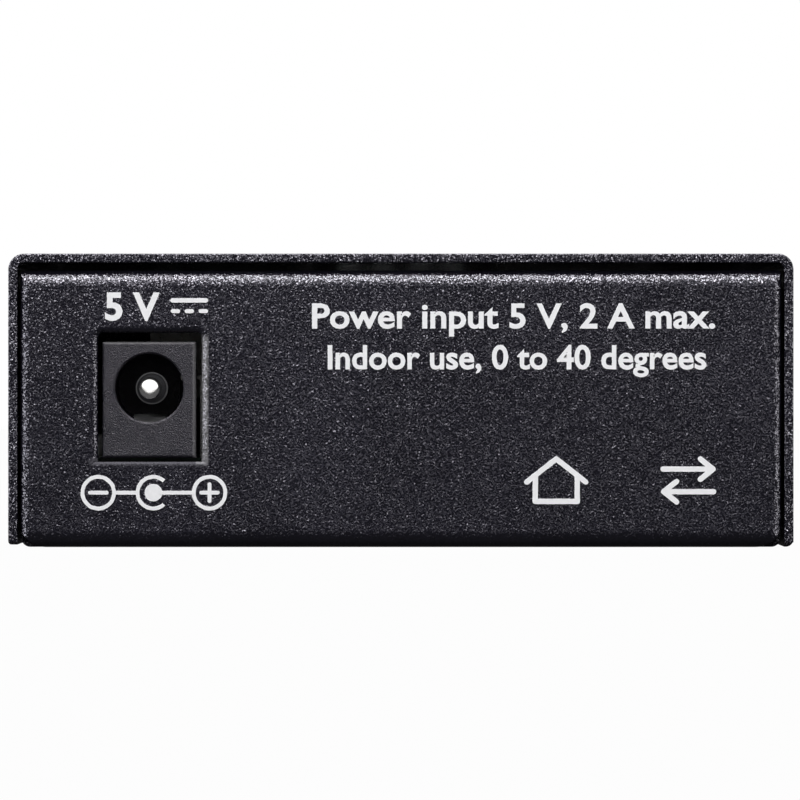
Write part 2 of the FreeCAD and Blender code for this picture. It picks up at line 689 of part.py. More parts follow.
def sfp_cage():
    """Folded cage: tube, vented roof, open floor over the connector, latch tongue, pins."""
    x = SFP_X
    z = SFP_Z0
    half = SFP_W / 2
    outer = rounded_block(x - half, x + half, SFP_Y0, SFP_Y1, z, z + SFP_H, CAGE_BEND_R, 1)
    inner = box(x - half + SFP_T, x + half - SFP_T, SFP_Y0 + SFP_T, SFP_Y1 + 1,
                z + SFP_T, z + SFP_H - SFP_T)
    cage = outer.cut(inner)
    tools = [box(x - half + 1.0, x + half - 1.0, SFP_Y0 - 1, SFP_Y0 + CAGE_FLOOR_OPEN, z - 1,
                 z + SFP_T + 0.1)]
    tools.append(box(x - half + 0.7, x + half - 0.7, SFP_Y0 - 1, SFP_Y0 + 1, z - 1, z + 5.0))
    for row in range(2):
        for side in (-1, 0, 1):
            cx = x + side * CAGE_VENT_PITCH
            cy = SFP_Y0 + 17.0 + (row * 2 + abs(side)) * CAGE_VENT_PITCH * 0.6
            tools.append(hex_rod(CAGE_VENT, cx, cy, z + SFP_H - 1, z + SFP_H + 1))
    tools.extend(latch_tongue_cuts(x, z))
    cage = cage.cut(tools)
    pins = []
    for sx in (-1, 1):
        for y in (SFP_Y0 + 2.0, SFP_Y0 + 14.0, SFP_Y0 + 24.0, SFP_Y0 + 34.0):
            x0 = min(sx * half, sx * (half - SFP_T))
            pins.append(box(x + x0, x + x0 + SFP_T, y - 0.5, y + 0.5, z, z + 1.0))
    return one(join([cage] + pins))


def latch_tongue_cuts(x, z):
    """U-shaped slit round the latch tongue and the triangular window in it."""
    y1 = SFP_Y1
    cuts = []
    for sx in (-1, 1):
        x0 = x + min(sx * 2.6, sx * 3.0)
        cuts.append(box(x0, x0 + 0.4, y1 - 9.0, y1 + 1, z - 0.5, z + SFP_T + 0.1))
    window = [(x - 1.4, y1 - 3.2, z - 0.5), (x + 1.4, y1 - 3.2, z - 0.5), (x, y1 - 5.6, z - 0.5)]
    cuts.append(prism(window, (0, 0, 1.0)))
    return cuts


def finger_bow(reach):
    """(distance from the cage, run back from its front) outline of one bowed finger."""
    t = FINGER_T
    return [(t, 0.3), (reach, 1.7), (reach, 2.7), (t, 4.8), (0, 4.8), (reach - t, 2.6),
            (reach - t, 1.8), (0, 0.45)]


def sfp_emi_fingers():
    """Spring collar that bridges the cage and the edge of its hole in the panel."""
    x = SFP_X
    half_w = SFP_W / 2
    z0 = SFP_Z0
    z1 = SFP_Z0 + SFP_H
    y1 = SFP_Y1
    t = FINGER_T
    band = box(x - half_w - t, x + half_w + t, y1 - 5.6, y1 - 4.6, z0 + 0.01, z1 + t)
    lip = box(x - half_w - t, x + half_w + t, y1 - 0.5, y1, z0 + 0.01, z1 + t)
    hole = box(x - half_w, x + half_w, y1 - 6, y1 + 1, z0 - 1, z1)
    parts = [band.cut(hole), lip.cut(hole)]
    width = FINGER_W
    reach_side = (SFP_HOLE_W - SFP_W) / 2 - FINGER_AIR
    reach_top = (SFP_HOLE_H - SFP_H) / 2 - FINGER_AIR
    for sx in (-1, 1):
        for i in range(4):
            z = z0 + 1.5 + i * FINGER_PITCH_SIDE
            pts = [(x + sx * (half_w + a), y1 - b, z - width / 2) for a, b in finger_bow(reach_side)]
            parts.append(prism(pts, (0, 0, width)))
    for i in range(6):
        cx = x + (i - 2.5) * FINGER_PITCH_TOP
        pts = [(cx - width / 2, y1 - b, z1 + a) for a, b in finger_bow(reach_top)]
        parts.append(prism(pts, (width, 0, 0)))
    return one(join(parts))


def sfp_connector_housing():
    """Twenty-way edge connector at the back of the cage."""
    x = SFP_X
    y0 = SFP_Y0 + EDGE_CONN_IN
    z = PCB_TOP
    body = box(x - 5.9, x + 5.9, y0, y0 + 9.2, z, z + 6.0)
    mouth = box(x - 4.6, x + 4.6, y0 + 4.2, y0 + 10, z + 2.6, z + 4.3)
    lead_in = prism([(x - 4.6, y0 + 9.3, z + 2.1), (x - 4.6, y0 + 9.3, z + 4.8), (x - 4.6, y0 + 8.3, z + 4.3),
                     (x - 4.6, y0 + 8.3, z + 2.6)], (9.2, 0, 0))
    grooves = []
    for i in range(EDGE_CONN_WAYS):
        cx = x + (i - (EDGE_CONN_WAYS - 1) / 2) * EDGE_CONN_PITCH
        grooves.append(box(cx - 0.22, cx + 0.22, y0 + 1.0, y0 + 8.3, z + 1.9, z + 5.0))
    under = box(x - 4.6, x + 4.6, y0 - 1, y0 + 1.4, z - 1, z + 5.0)
    back = box(x - 4.6, x + 4.6, y0 - 1, y0 + 2.1, z - 1, z + 0.5)
    return one(carve(body, [mouth, lead_in, under, back] + grooves))


def sfp_connector_contacts():
    """Ten upper and ten lower spring contacts, each with its foot on the board."""
    y0 = SFP_Y0 + EDGE_CONN_IN
    z = PCB_TOP
    w = 0.34
    solids = []
    for i in range(EDGE_CONN_WAYS):
        cx = SFP_X + (i - (EDGE_CONN_WAYS - 1) / 2) * EDGE_CONN_PITCH
        upper = [(7.9, 4.36), (0.5, 4.75), (0.5, 0.16), (-0.6, 0.16), (-0.6, 0), (0.66, 0), (0.66, 4.57),
                 (7.9, 4.2)]
        lower = [(7.9, 2.66), (1.1, 2.16), (1.1, 0), (2.0, 0), (2.0, 0.12), (1.26, 0.12), (1.26, 2.01),
                 (7.9, 2.5)]
        for outline in (upper, lower):
            pts = [(cx - w / 2, y0 + a, z + b) for a, b in outline]
            solids.append(prism(pts, (w, 0, 0)))
    return group(solids)


# ---- copper port ------------------------------------------------------------------------------

def plug_cavity(y0, y1):
    """Stepped opening an eight-way plug goes into, latch side down."""
    x = RJ_X
    top = RJ_CAVITY_TOP
    low = top - RJ_PLUG_H
    main = box(x - RJ_PLUG_HALF_W, x + RJ_PLUG_HALF_W, y0, y1, low, top)
    step = box(x - 3.1, x + 3.1, y0, y1, top - 8.2, low + 0.1)
    latch = box(x - 1.7, x + 1.7, y0, y1, top - 9.6, top - 8.1)
    return join([main, step, latch])


def rj_posts():
    return ((RJ_X - 5.7, RJ_Y1 - 12.0), (RJ_X + 5.7, RJ_Y1 - 12.0))


def rj45_housing():
    """Moulded insulator with the plug cavity, contact comb and board posts."""
    x = RJ_X
    half = RJ_W / 2 - RJ_T
    y0 = RJ_Y1 - RJ_LEN + RJ_T
    y1 = RJ_Y1 - RJ_T
    body = box(x - half, x + half, y0, y1, PCB_TOP, PCB_TOP + RJ_H - RJ_T)
    top = RJ_CAVITY_TOP
    tools = [plug_cavity(y1 - 13.6, y1 + 1)]
    for i in range(RJ_WAYS):
        cx = x + (i - (RJ_WAYS - 1) / 2) * RJ_PITCH
        tools.append(box(cx - 0.3, cx + 0.3, y1 - 16.4, y1 - 2.4, top - 6.4, top + 0.9))
    tools.append(box(x - 4.6, x + 4.6, y0 - 1, y0 + 4.4, PCB_TOP - 1, top + 0.9))
    body = body.cut(tools)
    posts = []
    r = RJ_POST_HALF
    for px, py in rj_posts():
        posts.append(box(px - r, px + r, py - r, py + r, PCB_Z - 0.6, PCB_TOP + 0.2))
    return one(join([body] + posts))


def rj45_shield():
    """Folded steel jacket with the plug opening, grounding springs and two board tabs."""
    x = RJ_X
    half = RJ_W / 2
    z0 = PCB_TOP
    z1 = PCB_TOP + RJ_H
    y0 = RJ_Y1 - RJ_LEN
    y1 = RJ_Y1
    t = RJ_T
    outer = box(x - half, x + half, y0, y1, z0, z1)
    inner = box(x - half + t, x + half - t, y0 + t, y1 - t, z0 - 1, z1 - t)
    shield = outer.cut(inner)
    shield = shield.cut(plug_cavity(y1 - 2, y1 + 1))
    parts = [shield]
    for sx in (-1, 1):
        for z in (z0 + 4.0, z0 + 9.0):
            face = x + sx * half
            pts = [(face, y1 - 0.6, z - 0.9), (face + sx * 0.22, y1 - 1.6, z - 0.9),
                   (face + sx * 0.22, y1 - 2.6, z - 0.9), (face, y1 - 4.4, z - 0.9)]
            parts.append(prism(pts, (0, 0, 1.8)))
        x0 = min(sx * half, sx * (half - t))
        parts.append(box(x + x0, x + x0 + t, y0 + 6.0, y0 + 7.6, z0, z0 + 1.0))
    for cx in (x - 4.5, x + 4.5):
        pts = [(cx - 1, y1 - 0.6, z1), (cx - 1, y1 - 1.6, z1 + 0.22), (cx - 1, y1 - 2.6, z1 + 0.22),
               (cx - 1, y1 - 4.4, z1)]
        parts.append(prism(pts, (2, 0, 0)))
    return one(join(parts))


def rj45_contacts():
    """Eight bent wires: slanting tongues in the cavity, level run, legs to the board."""
    y1 = RJ_Y1 - RJ_T
    top = RJ_CAVITY_TOP
    w = 0.4
    d = 0.35
    solids = []
    for i in range(RJ_WAYS):
        cx = RJ_X + (i - (RJ_WAYS - 1) / 2) * RJ_PITCH
        rear = 17.2 if i % 2 else 19.2
        outline = [(3.0, 0.45), (3.0, 0.8), (rear + d, 0.8), (rear + d, -(top - PCB_TOP) + 0.02),
                   (rear, -(top - PCB_TOP) + 0.02), (rear, 0.45), (3.9, 0.45), (11.4, -4.9), (11.15, -5.15)]
        pts = [(cx - w / 2, y1 - a, top + b) for a, b in outline]
        solids.append(prism(pts, (w, 0, 0)))
    return group(solids)


# ---- mode switch block --------------------------------------------------------------------------

def dip_xs():
    return [DIP_X + (i - (DIP_COUNT - 1) / 2) * DIP_PITCH for i in range(DIP_COUNT)]


def dip_switch_housing():
    """Moulded front: a knob slot and a wider pocket behind it for each slider."""
    y1 = DIP_Y1
    y0 = y1 - DIP_DEPTH
    body = box(DIP_X - DIP_W / 2, DIP_X + DIP_W / 2, y0, y1, DIP_Z0, DIP_Z0 + DIP_H)
    body = body.makeFillet(0.25, edges_where(body, lambda e: e.BoundBox.YMin > y1 - 0.001))
    p = SLIDE_PLAY
    tools = []
    for x in dip_xs():
        z0 = SLIDER_MID_Z - KNOB_H / 2 - p
        z1 = SLIDER_MID_Z + KNOB_H / 2 + SLIDE_TRAVEL + p
        tools.append(box(x - KNOB_W / 2 - p, x + KNOB_W / 2 + p, y0 - 1, y1 + 1, z0, z1))
        f0 = SLIDER_MID_Z - SLIDER_FOOT_H / 2 - p
        f1 = SLIDER_MID_Z + SLIDER_FOOT_H / 2 + SLIDE_TRAVEL + p
        tools.append(box(x - SLIDER_FOOT_W / 2 - p, x + SLIDER_FOOT_W / 2 + p, y0 - 1,
                         y1 - DIP_FRONT_T, f0, f1))
    return one(carve(body, tools))


def dip_slider(x):
    """Knob and foot of one slider, moulded together."""
    y_back = DIP_Y1 - DIP_FRONT_T - SLIDE_PLAY
    z = SLIDER_MID_Z
    foot = box(x - SLIDER_FOOT_W / 2, x + SLIDER_FOOT_W / 2, y_back - SLIDER_FOOT_T, y_back,
               z - SLIDER_FOOT_H / 2, z + SLIDER_FOOT_H / 2)
    knob = box(x - KNOB_W / 2, x + KNOB_W / 2, y_back - 0.5, DIP_Y1 + KNOB_OUT,
               z - KNOB_H / 2, z + KNOB_H / 2)
    tip = edges_where(knob, lambda e: straight_along(e, 0) and e.CenterOfMass.y > DIP_Y1)
    knob = knob.makeFillet(0.25, tip)
    return one(join([foot, knob]))


def dip_switch_base():
    """Rear plate that closes the pockets and carries the contacts."""
    y1 = DIP_Y1 - DIP_DEPTH
    plate = box(DIP_X - DIP_W / 2, DIP_X + DIP_W / 2, y1 - DIP_BASE_T, y1, DIP_Z0, DIP_Z0 + DIP_H)
    tools = []
    for x in dip_xs():
        back = y1 - DIP_BASE_T
        tools.append(box(x - 0.4, x + 0.4, back - 1, back + 0.4, DIP_Z0 - 1, DIP_Z0 + 6.0))
    return one(carve(plate, tools))


def dip_switch_contacts():
    """Four gull legs on the back of the base."""
    y = DIP_Y1 - DIP_DEPTH - DIP_BASE_T
    z = DIP_Z0
    solids = []
    for x in dip_xs():
        outline = [(0.4, 6.0), (0.15, 6.0), (0.15, 0.25), (-1.3, 0.25), (-1.3, 0), (0.4, 0)]
        pts = [(x - 0.3, y + a, z + b) for a, b in outline]
        solids.append(prism(pts, (0.6, 0, 0)))
    return group(solids)


# ---- light pipes and indicators ----------------------------------------------------------------------

def pipe_pegs():
    return ((DIP_X - PIPE_PITCH, PIPE_Y_BACK - 0.5), (DIP_X + PIPE_PITCH, PIPE_Y_BACK - 0.5))


def light_pipes():
    """One clear moulding: four bent light bars joined by a rib with two pegs."""
    parts = []
    w = PIPE_HALF_W
    h = PIPE_HALF_H
    y1 = TRAY_HALF_Y
    y0 = PIPE_Y_BACK - 0.4 - h
    y2 = y0 + 2 * h
    for x in pipe_xs():
        outline = [(y1, PIPE_Z - h), (y1, PIPE_Z + h), (y2, PIPE_Z + h), (y0, PIPE_Z - h),
                   (y0, PCB_TOP + 1.1), (y2, PCB_TOP + 1.1), (y2, PIPE_Z - h)]
        parts.append(prism([(x - w, y, z) for y, z in outline], (2 * w, 0, 0)))
    xs = pipe_xs()
    rib_z = PIPE_Z - h - RIB_HALF
    for x, y in pipe_pegs():
        c = COLUMN_HALF
        parts.append(box(x - c, x + c, y - c, y + c, PCB_TOP, rib_z))
        parts.append(box(x - PEG_HALF, x + PEG_HALF, y - PEG_HALF, y + PEG_HALF, PCB_Z + 0.1, PCB_TOP))
    parts.append(box(xs[0], xs[-1], y - RIB_HALF, y + RIB_HALF, rib_z - RIB_HALF, rib_z + RIB_HALF))
    return one(join(parts))


def status_leds():
    """Surface-mounted diode under each light pipe: body with a domed window."""
    solids = []
    y = PIPE_Y_BACK - 0.4
    for x in pipe_xs():
        base = box(x - 0.8, x + 0.8, y - 0.4, y + 0.4, PCB_TOP, PCB_TOP + 0.35)
        lens = box(x - 0.5, x + 0.5, y - 0.4, y + 0.4, PCB_TOP + 0.35, PCB_TOP + 0.75)
        solids.append(join([base, lens]))
    return group(solids)


# ---- board parts ------------------------------------------------------------------------------------------

def chip(x, y, w, d, h, legs=0, pitch=1.27):
    """Moulded package with gull legs along its two X sides."""
    z = PCB_TOP
    body = box(x - w / 2, x + w / 2, y - d / 2, y + d / 2, z + 0.1, z + h)
    body = body.makeChamfer(0.12, edges_where(body, lambda e: e.BoundBox.ZMin > z + h - 0.001))
    parts = [body]
    leg = [(-0.1, 0.5 * h), (0.3, 0.5 * h), (0.6, 0.12), (1.1, 0.12), (1.1, 0), (0.5, 0), (0.2, 0.4 * h),
           (-0.1, 0.4 * h)]
    for sx in (-1, 1):
        for i in range(legs):
            cy = y + (i - (legs - 1) / 2) * pitch
            pts = [(x + sx * (w / 2 + a), cy - pitch / 4, z + b) for a, b in leg]
            parts.append(prism(pts, (0, pitch / 2, 0)))
    return one(join(parts))


def spot(share_x, share_y):
    """Place on the board, given as shares of its half width and half length."""
    return share_x * PCB_HALF_X, share_y * PCB_HALF_Y


def converter_chip():
    return chip(*spot(-0.12, 0.09), 12.0, 12.0, 1.0)


def eeprom_chip():
    return chip(*spot(-0.42, -0.27), 4.0, 5.0, 1.5, legs=4)


def buck_regulator():
    return chip(*spot(-0.09, -0.67), 4.0, 5.0, 1.5, legs=4)


def lan_transformer():
    """Isolation transformer between chip and copper port."""
    return chip(RJ_X - 1.5, RJ_Y1 - RJ_LEN - 8.0, 9.6, 12.6, 5.6, legs=8)


def clock_crystal():
    """Low can crystal: lid with round ends on a flat base."""
    z = PCB_TOP
    x, y = spot(0.18, -0.35)
    rim = box(x - 5.6, x + 5.6, y - 2.3, y + 2.3, z, z + 0.5)
    can = slot_tool(x - 5.1, x + 5.1, y - 1.85, y + 1.85, z + 0.5, z + 3.4, 2)
    return one(join([rim, can]))


def power_inductor():
    """Shielded inductor: square ferrite with a round core in its top."""
    z = PCB_TOP
    x, y = spot(0.18, -0.67)
    body = box(x - 3.6, x + 3.6, y - 3.6, y + 3.6, z, z + 3.8)
    body = body.makeChamfer(1.0, edges_where(body, lambda e: straight_along(e, 2)))
    core = rod(2.7, 0.3, vec(x, y, z + 3.8), vec(0, 0, 1))
    return one(join([body, core]))


def can_capacitor(x, y, r, h):
    """Electrolytic can on its moulded square base."""
    z = PCB_TOP
    base = box(x - r - 0.2, x + r + 0.2, y - r - 0.2, y + r + 0.2, z, z + 0.9)
    corners = edges_where(base, lambda e: straight_along(e, 2) and e.CenterOfMass.y > y)
    base = base.makeChamfer(r * 0.3, corners)
    can = rod(r, h - 0.9, vec(x, y, z + 0.9), vec(0, 0, 1))
    return one(join([base, can]))


def input_capacitor():
    return can_capacitor(*spot(-0.3, -0.76), 3.15, 7.7)


def output_capacitor():
    return can_capacitor(*spot(0.47, -0.67), 4.0, 10.2)


def input_fuse():
    """Resettable fuse, a flat tile with end caps, behind the jack."""
    z = PCB_TOP
    x = JACK_X
    y = JACK_Y + JACK_LEN + 6.1
    tile = box(x - 2.25, x + 2.25, y - 1.6, y + 1.6, z, z + 0.9)
    caps = []
    for side in (-1, 1):
        x0 = min(x + side * 1.65, x + side * 2.35)
        caps.append(box(x0, x0 + 0.7, y - 1.7, y + 1.7, z, z + 1.0))
    return one(join([tile] + caps))


def line_of(place, count, step_x, step_y):
    """Evenly spaced places in a straight line that starts at the one given."""
    x, y = place
    return [(x + i * step_x, y + i * step_y) for i in range(count)]


def small_tiles(places, half_x, half_y, h):
    return group([box(x - half_x, x + half_x, y - half_y, y + half_y, PCB_TOP, PCB_TOP + h)
                  for x, y in places])


def chip_resistors():
    places = line_of(spot(-0.38, -0.42), 4, 3.0, 0)
    places += line_of(spot(0.22, 0.02), 4, 0, 3.0)
    places += line_of(spot(-0.45, -0.08), 4, 0, 3.0)
    places += line_of(spot(0.67, -0.4), 3, 0, 3.0)
    return small_tiles(places + [spot(0.12, 0.45)], 0.8, 0.4, 0.45)


def chip_capacitors():
    places = line_of(spot(-0.3, 0.32), 5, 2.6, 0)
    places += line_of(spot(-0.34, -0.13), 4, 2.6, 0)
    places += line_of(spot(0.45, -0.17), 3, 3.0, 0)
    places += line_of(spot(-0.8, 0.04), 3, 0, 3.0)
    return small_tiles(places + [spot(0.75, -0.6)], 0.5, 1.0, 0.8)


def parts():
    """Every piece of the converter by name."""
    made = {
        "base_tray": base_tray(),
        "top_cover": top_cover(),
        "cover_screws": cover_screws(),
        "pcb_standoffs": pcb_standoffs(),
        "pcb_screws": pcb_screws(),
        "circuit_board": circuit_board(),
        "dc_jack_housing": dc_jack_housing(),
        "dc_jack_centre_pin": dc_jack_centre_pin(),
        "dc_jack_sleeve_spring": dc_jack_sleeve_spring(),
        "dc_jack_switch_contact": dc_jack_switch_contact(),
        "sfp_cage": sfp_cage(),
        "sfp_emi_fingers": sfp_emi_fingers(),
        "sfp_connector_housing": sfp_connector_housing(),
        "sfp_connector_contacts": sfp_connector_contacts(),
        "rj45_housing": rj45_housing(),
        "rj45_shield": rj45_shield(),
        "rj45_contacts": rj45_contacts(),
        "dip_switch_housing": dip_switch_housing(),
        "dip_switch_base": dip_switch_base(),
        "dip_switch_contacts": dip_switch_contacts(),
        "light_pipes": light_pipes(),
        "status_leds": status_leds(),
        "converter_chip": converter_chip(),
        "eeprom_chip": eeprom_chip(),
        "lan_transformer": lan_transformer(),
        "buck_regulator": buck_regulator(),
        "clock_crystal": clock_crystal(),
        "power_inductor": power_inductor(),
        "input_capacitor": input_capacitor(),
        "output_capacitor": output_capacitor(),
        "input_fuse": input_fuse(),
        "chip_resistors": chip_resistors(),
        "chip_capacitors": chip_capacitors(),
    }
    for i, x in enumerate(dip_xs()):
        made["dip_slider_%d" % (i + 1)] = dip_slider(x)
    return made


def main():
    os.makedirs("parts", exist_ok=True)
    for name, shape in parts().items():
        if not shape.isValid():
            raise RuntimeError("not a valid shape: " + name)
        shape.exportStep("parts/" + name + ".step")
        print("%-24s %2d solids" % (name, len(shape.Solids)))


main()
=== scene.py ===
# %% [markdown]
# # A fibre media converter
# The real object is a box of folded steel about as big as a cigarette packet. One end takes a
# barrel plug for power, and the other takes an optical module and a copper plug.
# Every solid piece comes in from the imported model, so this lesson is about looks only: coating,
# printing, plating and light. Working on top of measured solids keeps every size right.
# Sizes are in metres, and the printed marks are drawn in millimetres.

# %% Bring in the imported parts
import json
import math
import bpy
import bmesh
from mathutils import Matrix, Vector, noise


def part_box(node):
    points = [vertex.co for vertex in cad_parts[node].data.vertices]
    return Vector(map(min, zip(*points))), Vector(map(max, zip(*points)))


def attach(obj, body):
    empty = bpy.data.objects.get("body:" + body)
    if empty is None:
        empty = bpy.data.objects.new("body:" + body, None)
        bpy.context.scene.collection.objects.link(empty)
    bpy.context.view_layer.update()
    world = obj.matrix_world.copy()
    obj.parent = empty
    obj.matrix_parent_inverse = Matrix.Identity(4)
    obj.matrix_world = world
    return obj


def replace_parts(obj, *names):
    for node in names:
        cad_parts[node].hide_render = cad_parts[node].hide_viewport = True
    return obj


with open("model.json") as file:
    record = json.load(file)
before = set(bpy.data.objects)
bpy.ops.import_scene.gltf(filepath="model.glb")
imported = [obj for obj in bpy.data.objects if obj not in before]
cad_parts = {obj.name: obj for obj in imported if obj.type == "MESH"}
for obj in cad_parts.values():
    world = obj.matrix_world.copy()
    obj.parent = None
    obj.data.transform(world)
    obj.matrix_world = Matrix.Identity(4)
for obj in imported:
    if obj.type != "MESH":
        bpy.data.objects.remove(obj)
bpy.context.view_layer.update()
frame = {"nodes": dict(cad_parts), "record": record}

NODES = frame["nodes"]
MM = 0.001
print("loaded", len(NODES), "pieces")

# %% [markdown]
# ## A small language for shaders
# A shader is a sum of patterns. Wiring Math nodes by hand hides that sum, so one class wraps a
# socket and lets it be added, multiplied and compared like a number. Each expression then builds
# its own nodes, and the recipe of a finish can be read in a line or two.

# %% Sockets that can be used in sums
class Val:
    """One output socket that can stand in an arithmetic expression."""

    def __init__(self, shader, socket):
        self.shader = shader
        self.socket = socket

    def math(self, operation, *others):
        return self.shader.add("ShaderNodeMath", {"operation": operation}, self, *others).out(0)

    def __add__(self, other):
        return self.math("ADD", other)

    __radd__ = __add__

    def __mul__(self, other):
        return self.math("MULTIPLY", other)

    __rmul__ = __mul__

    def __sub__(self, other):
        return self.math("SUBTRACT", other)

    def __rsub__(self, other):
        return self.shader.add("ShaderNodeMath", {"operation": "SUBTRACT"}, other, self).out(0)

    def clamp(self, low, high):
        return self.math("MAXIMUM", low).math("MINIMUM", high)

    def remap(self, low, high, to_low, to_high):
        """Straight-line change of range, kept inside the new one."""
        ends = {"From Min": low, "From Max": high, "To Min": to_low, "To Max": to_high}
        return self.shader.add("ShaderNodeMapRange", {"clamp": True}, self, **ends).out(0)


class Placed:
    """A node that has been added, with its outputs by name or number."""

    def __init__(self, shader, node):
        self.shader = shader
        self.node = node

    def out(self, key=0):
        return Val(self.shader, self.node.outputs[key])


# %% [markdown]
# ## One way to add a node
# Nodes differ in type, settings and sockets, but they are all added alike. So one method takes
# those three things, and a short one on top of it ends a material in its Principled surface.

# %% A material or the world, built node by node
class Shader:
    """A material, or the world, and its node tree."""

    def __init__(self, name, world=False):
        home = bpy.data.worlds if world else bpy.data.materials
        end = "ShaderNodeOutputWorld" if world else "ShaderNodeOutputMaterial"
        self.owner = home.new(name)
        self.owner.use_nodes = True
        self.tree = self.owner.node_tree
        self.tree.nodes.clear()
        self.output = self.tree.nodes.new(end)

    def feed(self, socket, value):
        if isinstance(value, Placed):
            value = value.out(0)
        if isinstance(value, Val):
            self.tree.links.new(value.socket, socket)
        else:
            socket.default_value = value

    def add(self, kind, settings, *inputs, **named):
        node = self.tree.nodes.new(kind)
        for key, value in settings.items():
            setattr(node, key, value)
        for i, value in enumerate(inputs):
            self.feed(node.inputs[i], value)
        for key, value in named.items():
            self.feed(node.inputs[key], value)
        return Placed(self, node)

    def mix(self, amount, low, high):
        """Colour between two others; either can be a plain colour or the output of a node."""
        node = self.add("ShaderNodeMix", {"data_type": "RGBA"})
        self.feed(node.node.inputs["Factor"], amount)
        self.feed(node.node.inputs[6], low)
        self.feed(node.node.inputs[7], high)
        return node.out(2)

    def surface(self, placed):
        self.tree.links.new(placed.node.outputs[0], self.output.inputs["Surface"])
        return self.owner

    def principled(self, **sockets):
        """End in a Principled surface; an underscore stands for the space in a socket's name."""
        named = {key.replace("_", " "): value for key, value in sockets.items()}
        return self.surface(self.add("ShaderNodeBsdfPrincipled", {}, **named))


# %% [markdown]
# ## Patterns that every finish shares
# Real surfaces are never one flat value. Noise in object coordinates, scaled in cycles per metre,
# gives each finish its grain at true size, so it looks the same on a small screw and a large lid.

# %% Grain, direction, colour and relief
def object_place(shader):
    return shader.add("ShaderNodeTexCoord", {}).out("Object")


def grain(shader, place, per_metre, detail=2.0, rough=0.5):
    """Noise with features about one over per_metre wide."""
    return shader.add("ShaderNodeTexNoise", {}, Vector=place, Scale=per_metre, Detail=detail,
                      Roughness=rough).out("Fac")


def stretched(shader, place, turn, scale):
    """Object coordinates turned and squeezed, for grain with a direction."""
    return shader.add("ShaderNodeMapping", {}, Vector=place, Rotation=turn, Scale=scale).out(0)


def blend_colour(shader, amount, low, high):
    return shader.mix(amount, (*low, 1), (*high, 1))


def bump(shader, height, depth):
    return shader.add("ShaderNodeBump", {}, Height=height, Distance=depth, Strength=1.0).out(0)


def vector_math(shader, operation, *inputs, **named):
    return shader.add("ShaderNodeVectorMath", {"operation": operation}, *inputs, **named).out(0)


# %% [markdown]
# ## Powder coat
# The steel is sprayed with plastic dust and baked. The melt pulls into a fine skin of grains about
# a fifth of a millimetre wide, and each grain cools at its own small tilt. Displaced geometry
# would be heavy. Bump from noise gives the soft relief, and a cell pattern that leans the normal
# grain by grain gives the sparkle where a grain faces a lamp.

# %% Colours and grain of the coat
COAT_DARK = (0.0022, 0.0020, 0.0037)
COAT_LIGHT = (0.0044, 0.0041, 0.0069)
COAT_ROLL_HIGHLIGHT = (0.066, 0.065, 0.067, 1)
COAT_SHEEN = (0.93, 0.90, 1.0, 1.0)
BLOTCH_PER_M = 90
RELIEF_PER_M = 5200
RELIEF_DEPTH = 0.000034
GRAIN_PER_M = 8800
GRAIN_LEAN = 0.52
EDGE_LEAN = 0.85


def leaning(shader, normal, place, per_metre, lean):
    """Tilt a normal by a random amount in each small cell."""
    cell = shader.add("ShaderNodeTexVoronoi", {}, Vector=place, Scale=per_metre).out("Color")
    centred = vector_math(shader, "SUBTRACT", cell, (0.5, 0.5, 0.5))
    tilt = vector_math(shader, "SCALE", centred, Scale=lean)
    return vector_math(shader, "NORMALIZE", vector_math(shader, "ADD", normal, tilt))


# %% [markdown]
# ## The rolled edge of the jack's hole
# A punch drags the sheet inwards before it cuts, so the hole has a soft roll all round the jack.
# The coat lies smoother on that roll. On its broad right side the coat is painted a lighter grey,
# a painted highlight, and the lower side is dull. Faces could be picked by hand for a second
# material. Masks worked out from the jack's own box find the same places and follow the jack if it
# moves.

# %% Masks beside the jack
# Pairs of distances from the block of the jack, between which each mask fades.
ROLL_NEAR, ROLL_FAR = 0.00105, 0.00125
ROLL_DEEP, ROLL_END = 0.002, 0.003
# Above and below the jack, the painted highlight on the right side fades out between these two.
HIGHLIGHT_FULL, HIGHLIGHT_END = 0.0003, 0.0008
DULL_FULL, DULL_END = 0.00062, 0.00080
ROLL_SMOOTH = 0.15
ROLL_DULL = 0.55


def near_jack(s, place):
    """Masks: the roll all round the jack, its broad right side and its lower side."""
    lo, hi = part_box("dc_jack_housing")
    half_wide, half_high = (hi.x - lo.x) / 2, (hi.z - lo.z) / 2
    axes = s.add("ShaderNodeSeparateXYZ", {}, place)
    across, up = axes.out(0) - (lo.x + hi.x) / 2, axes.out(2)
    past_x = across.math("ABSOLUTE") - half_wide
    past_z = (up - (lo.z + hi.z) / 2).math("ABSOLUTE") - half_high
    panel = axes.out(1).remap(lo.y + ROLL_DEEP, lo.y + ROLL_END, 1, 0)
    beside = past_x.math("MAXIMUM", past_z).remap(ROLL_NEAR, ROLL_FAR, 1, 0) * panel
    right = across.math("GREATER_THAN", half_wide) * past_z.remap(HIGHLIGHT_FULL, HIGHLIGHT_END, 1, 0)
    lower = up.math("LESS_THAN", lo.z) * up.remap(lo.z - DULL_END, lo.z - DULL_FULL, 0, 1)
    return beside, beside * right, beside * lower


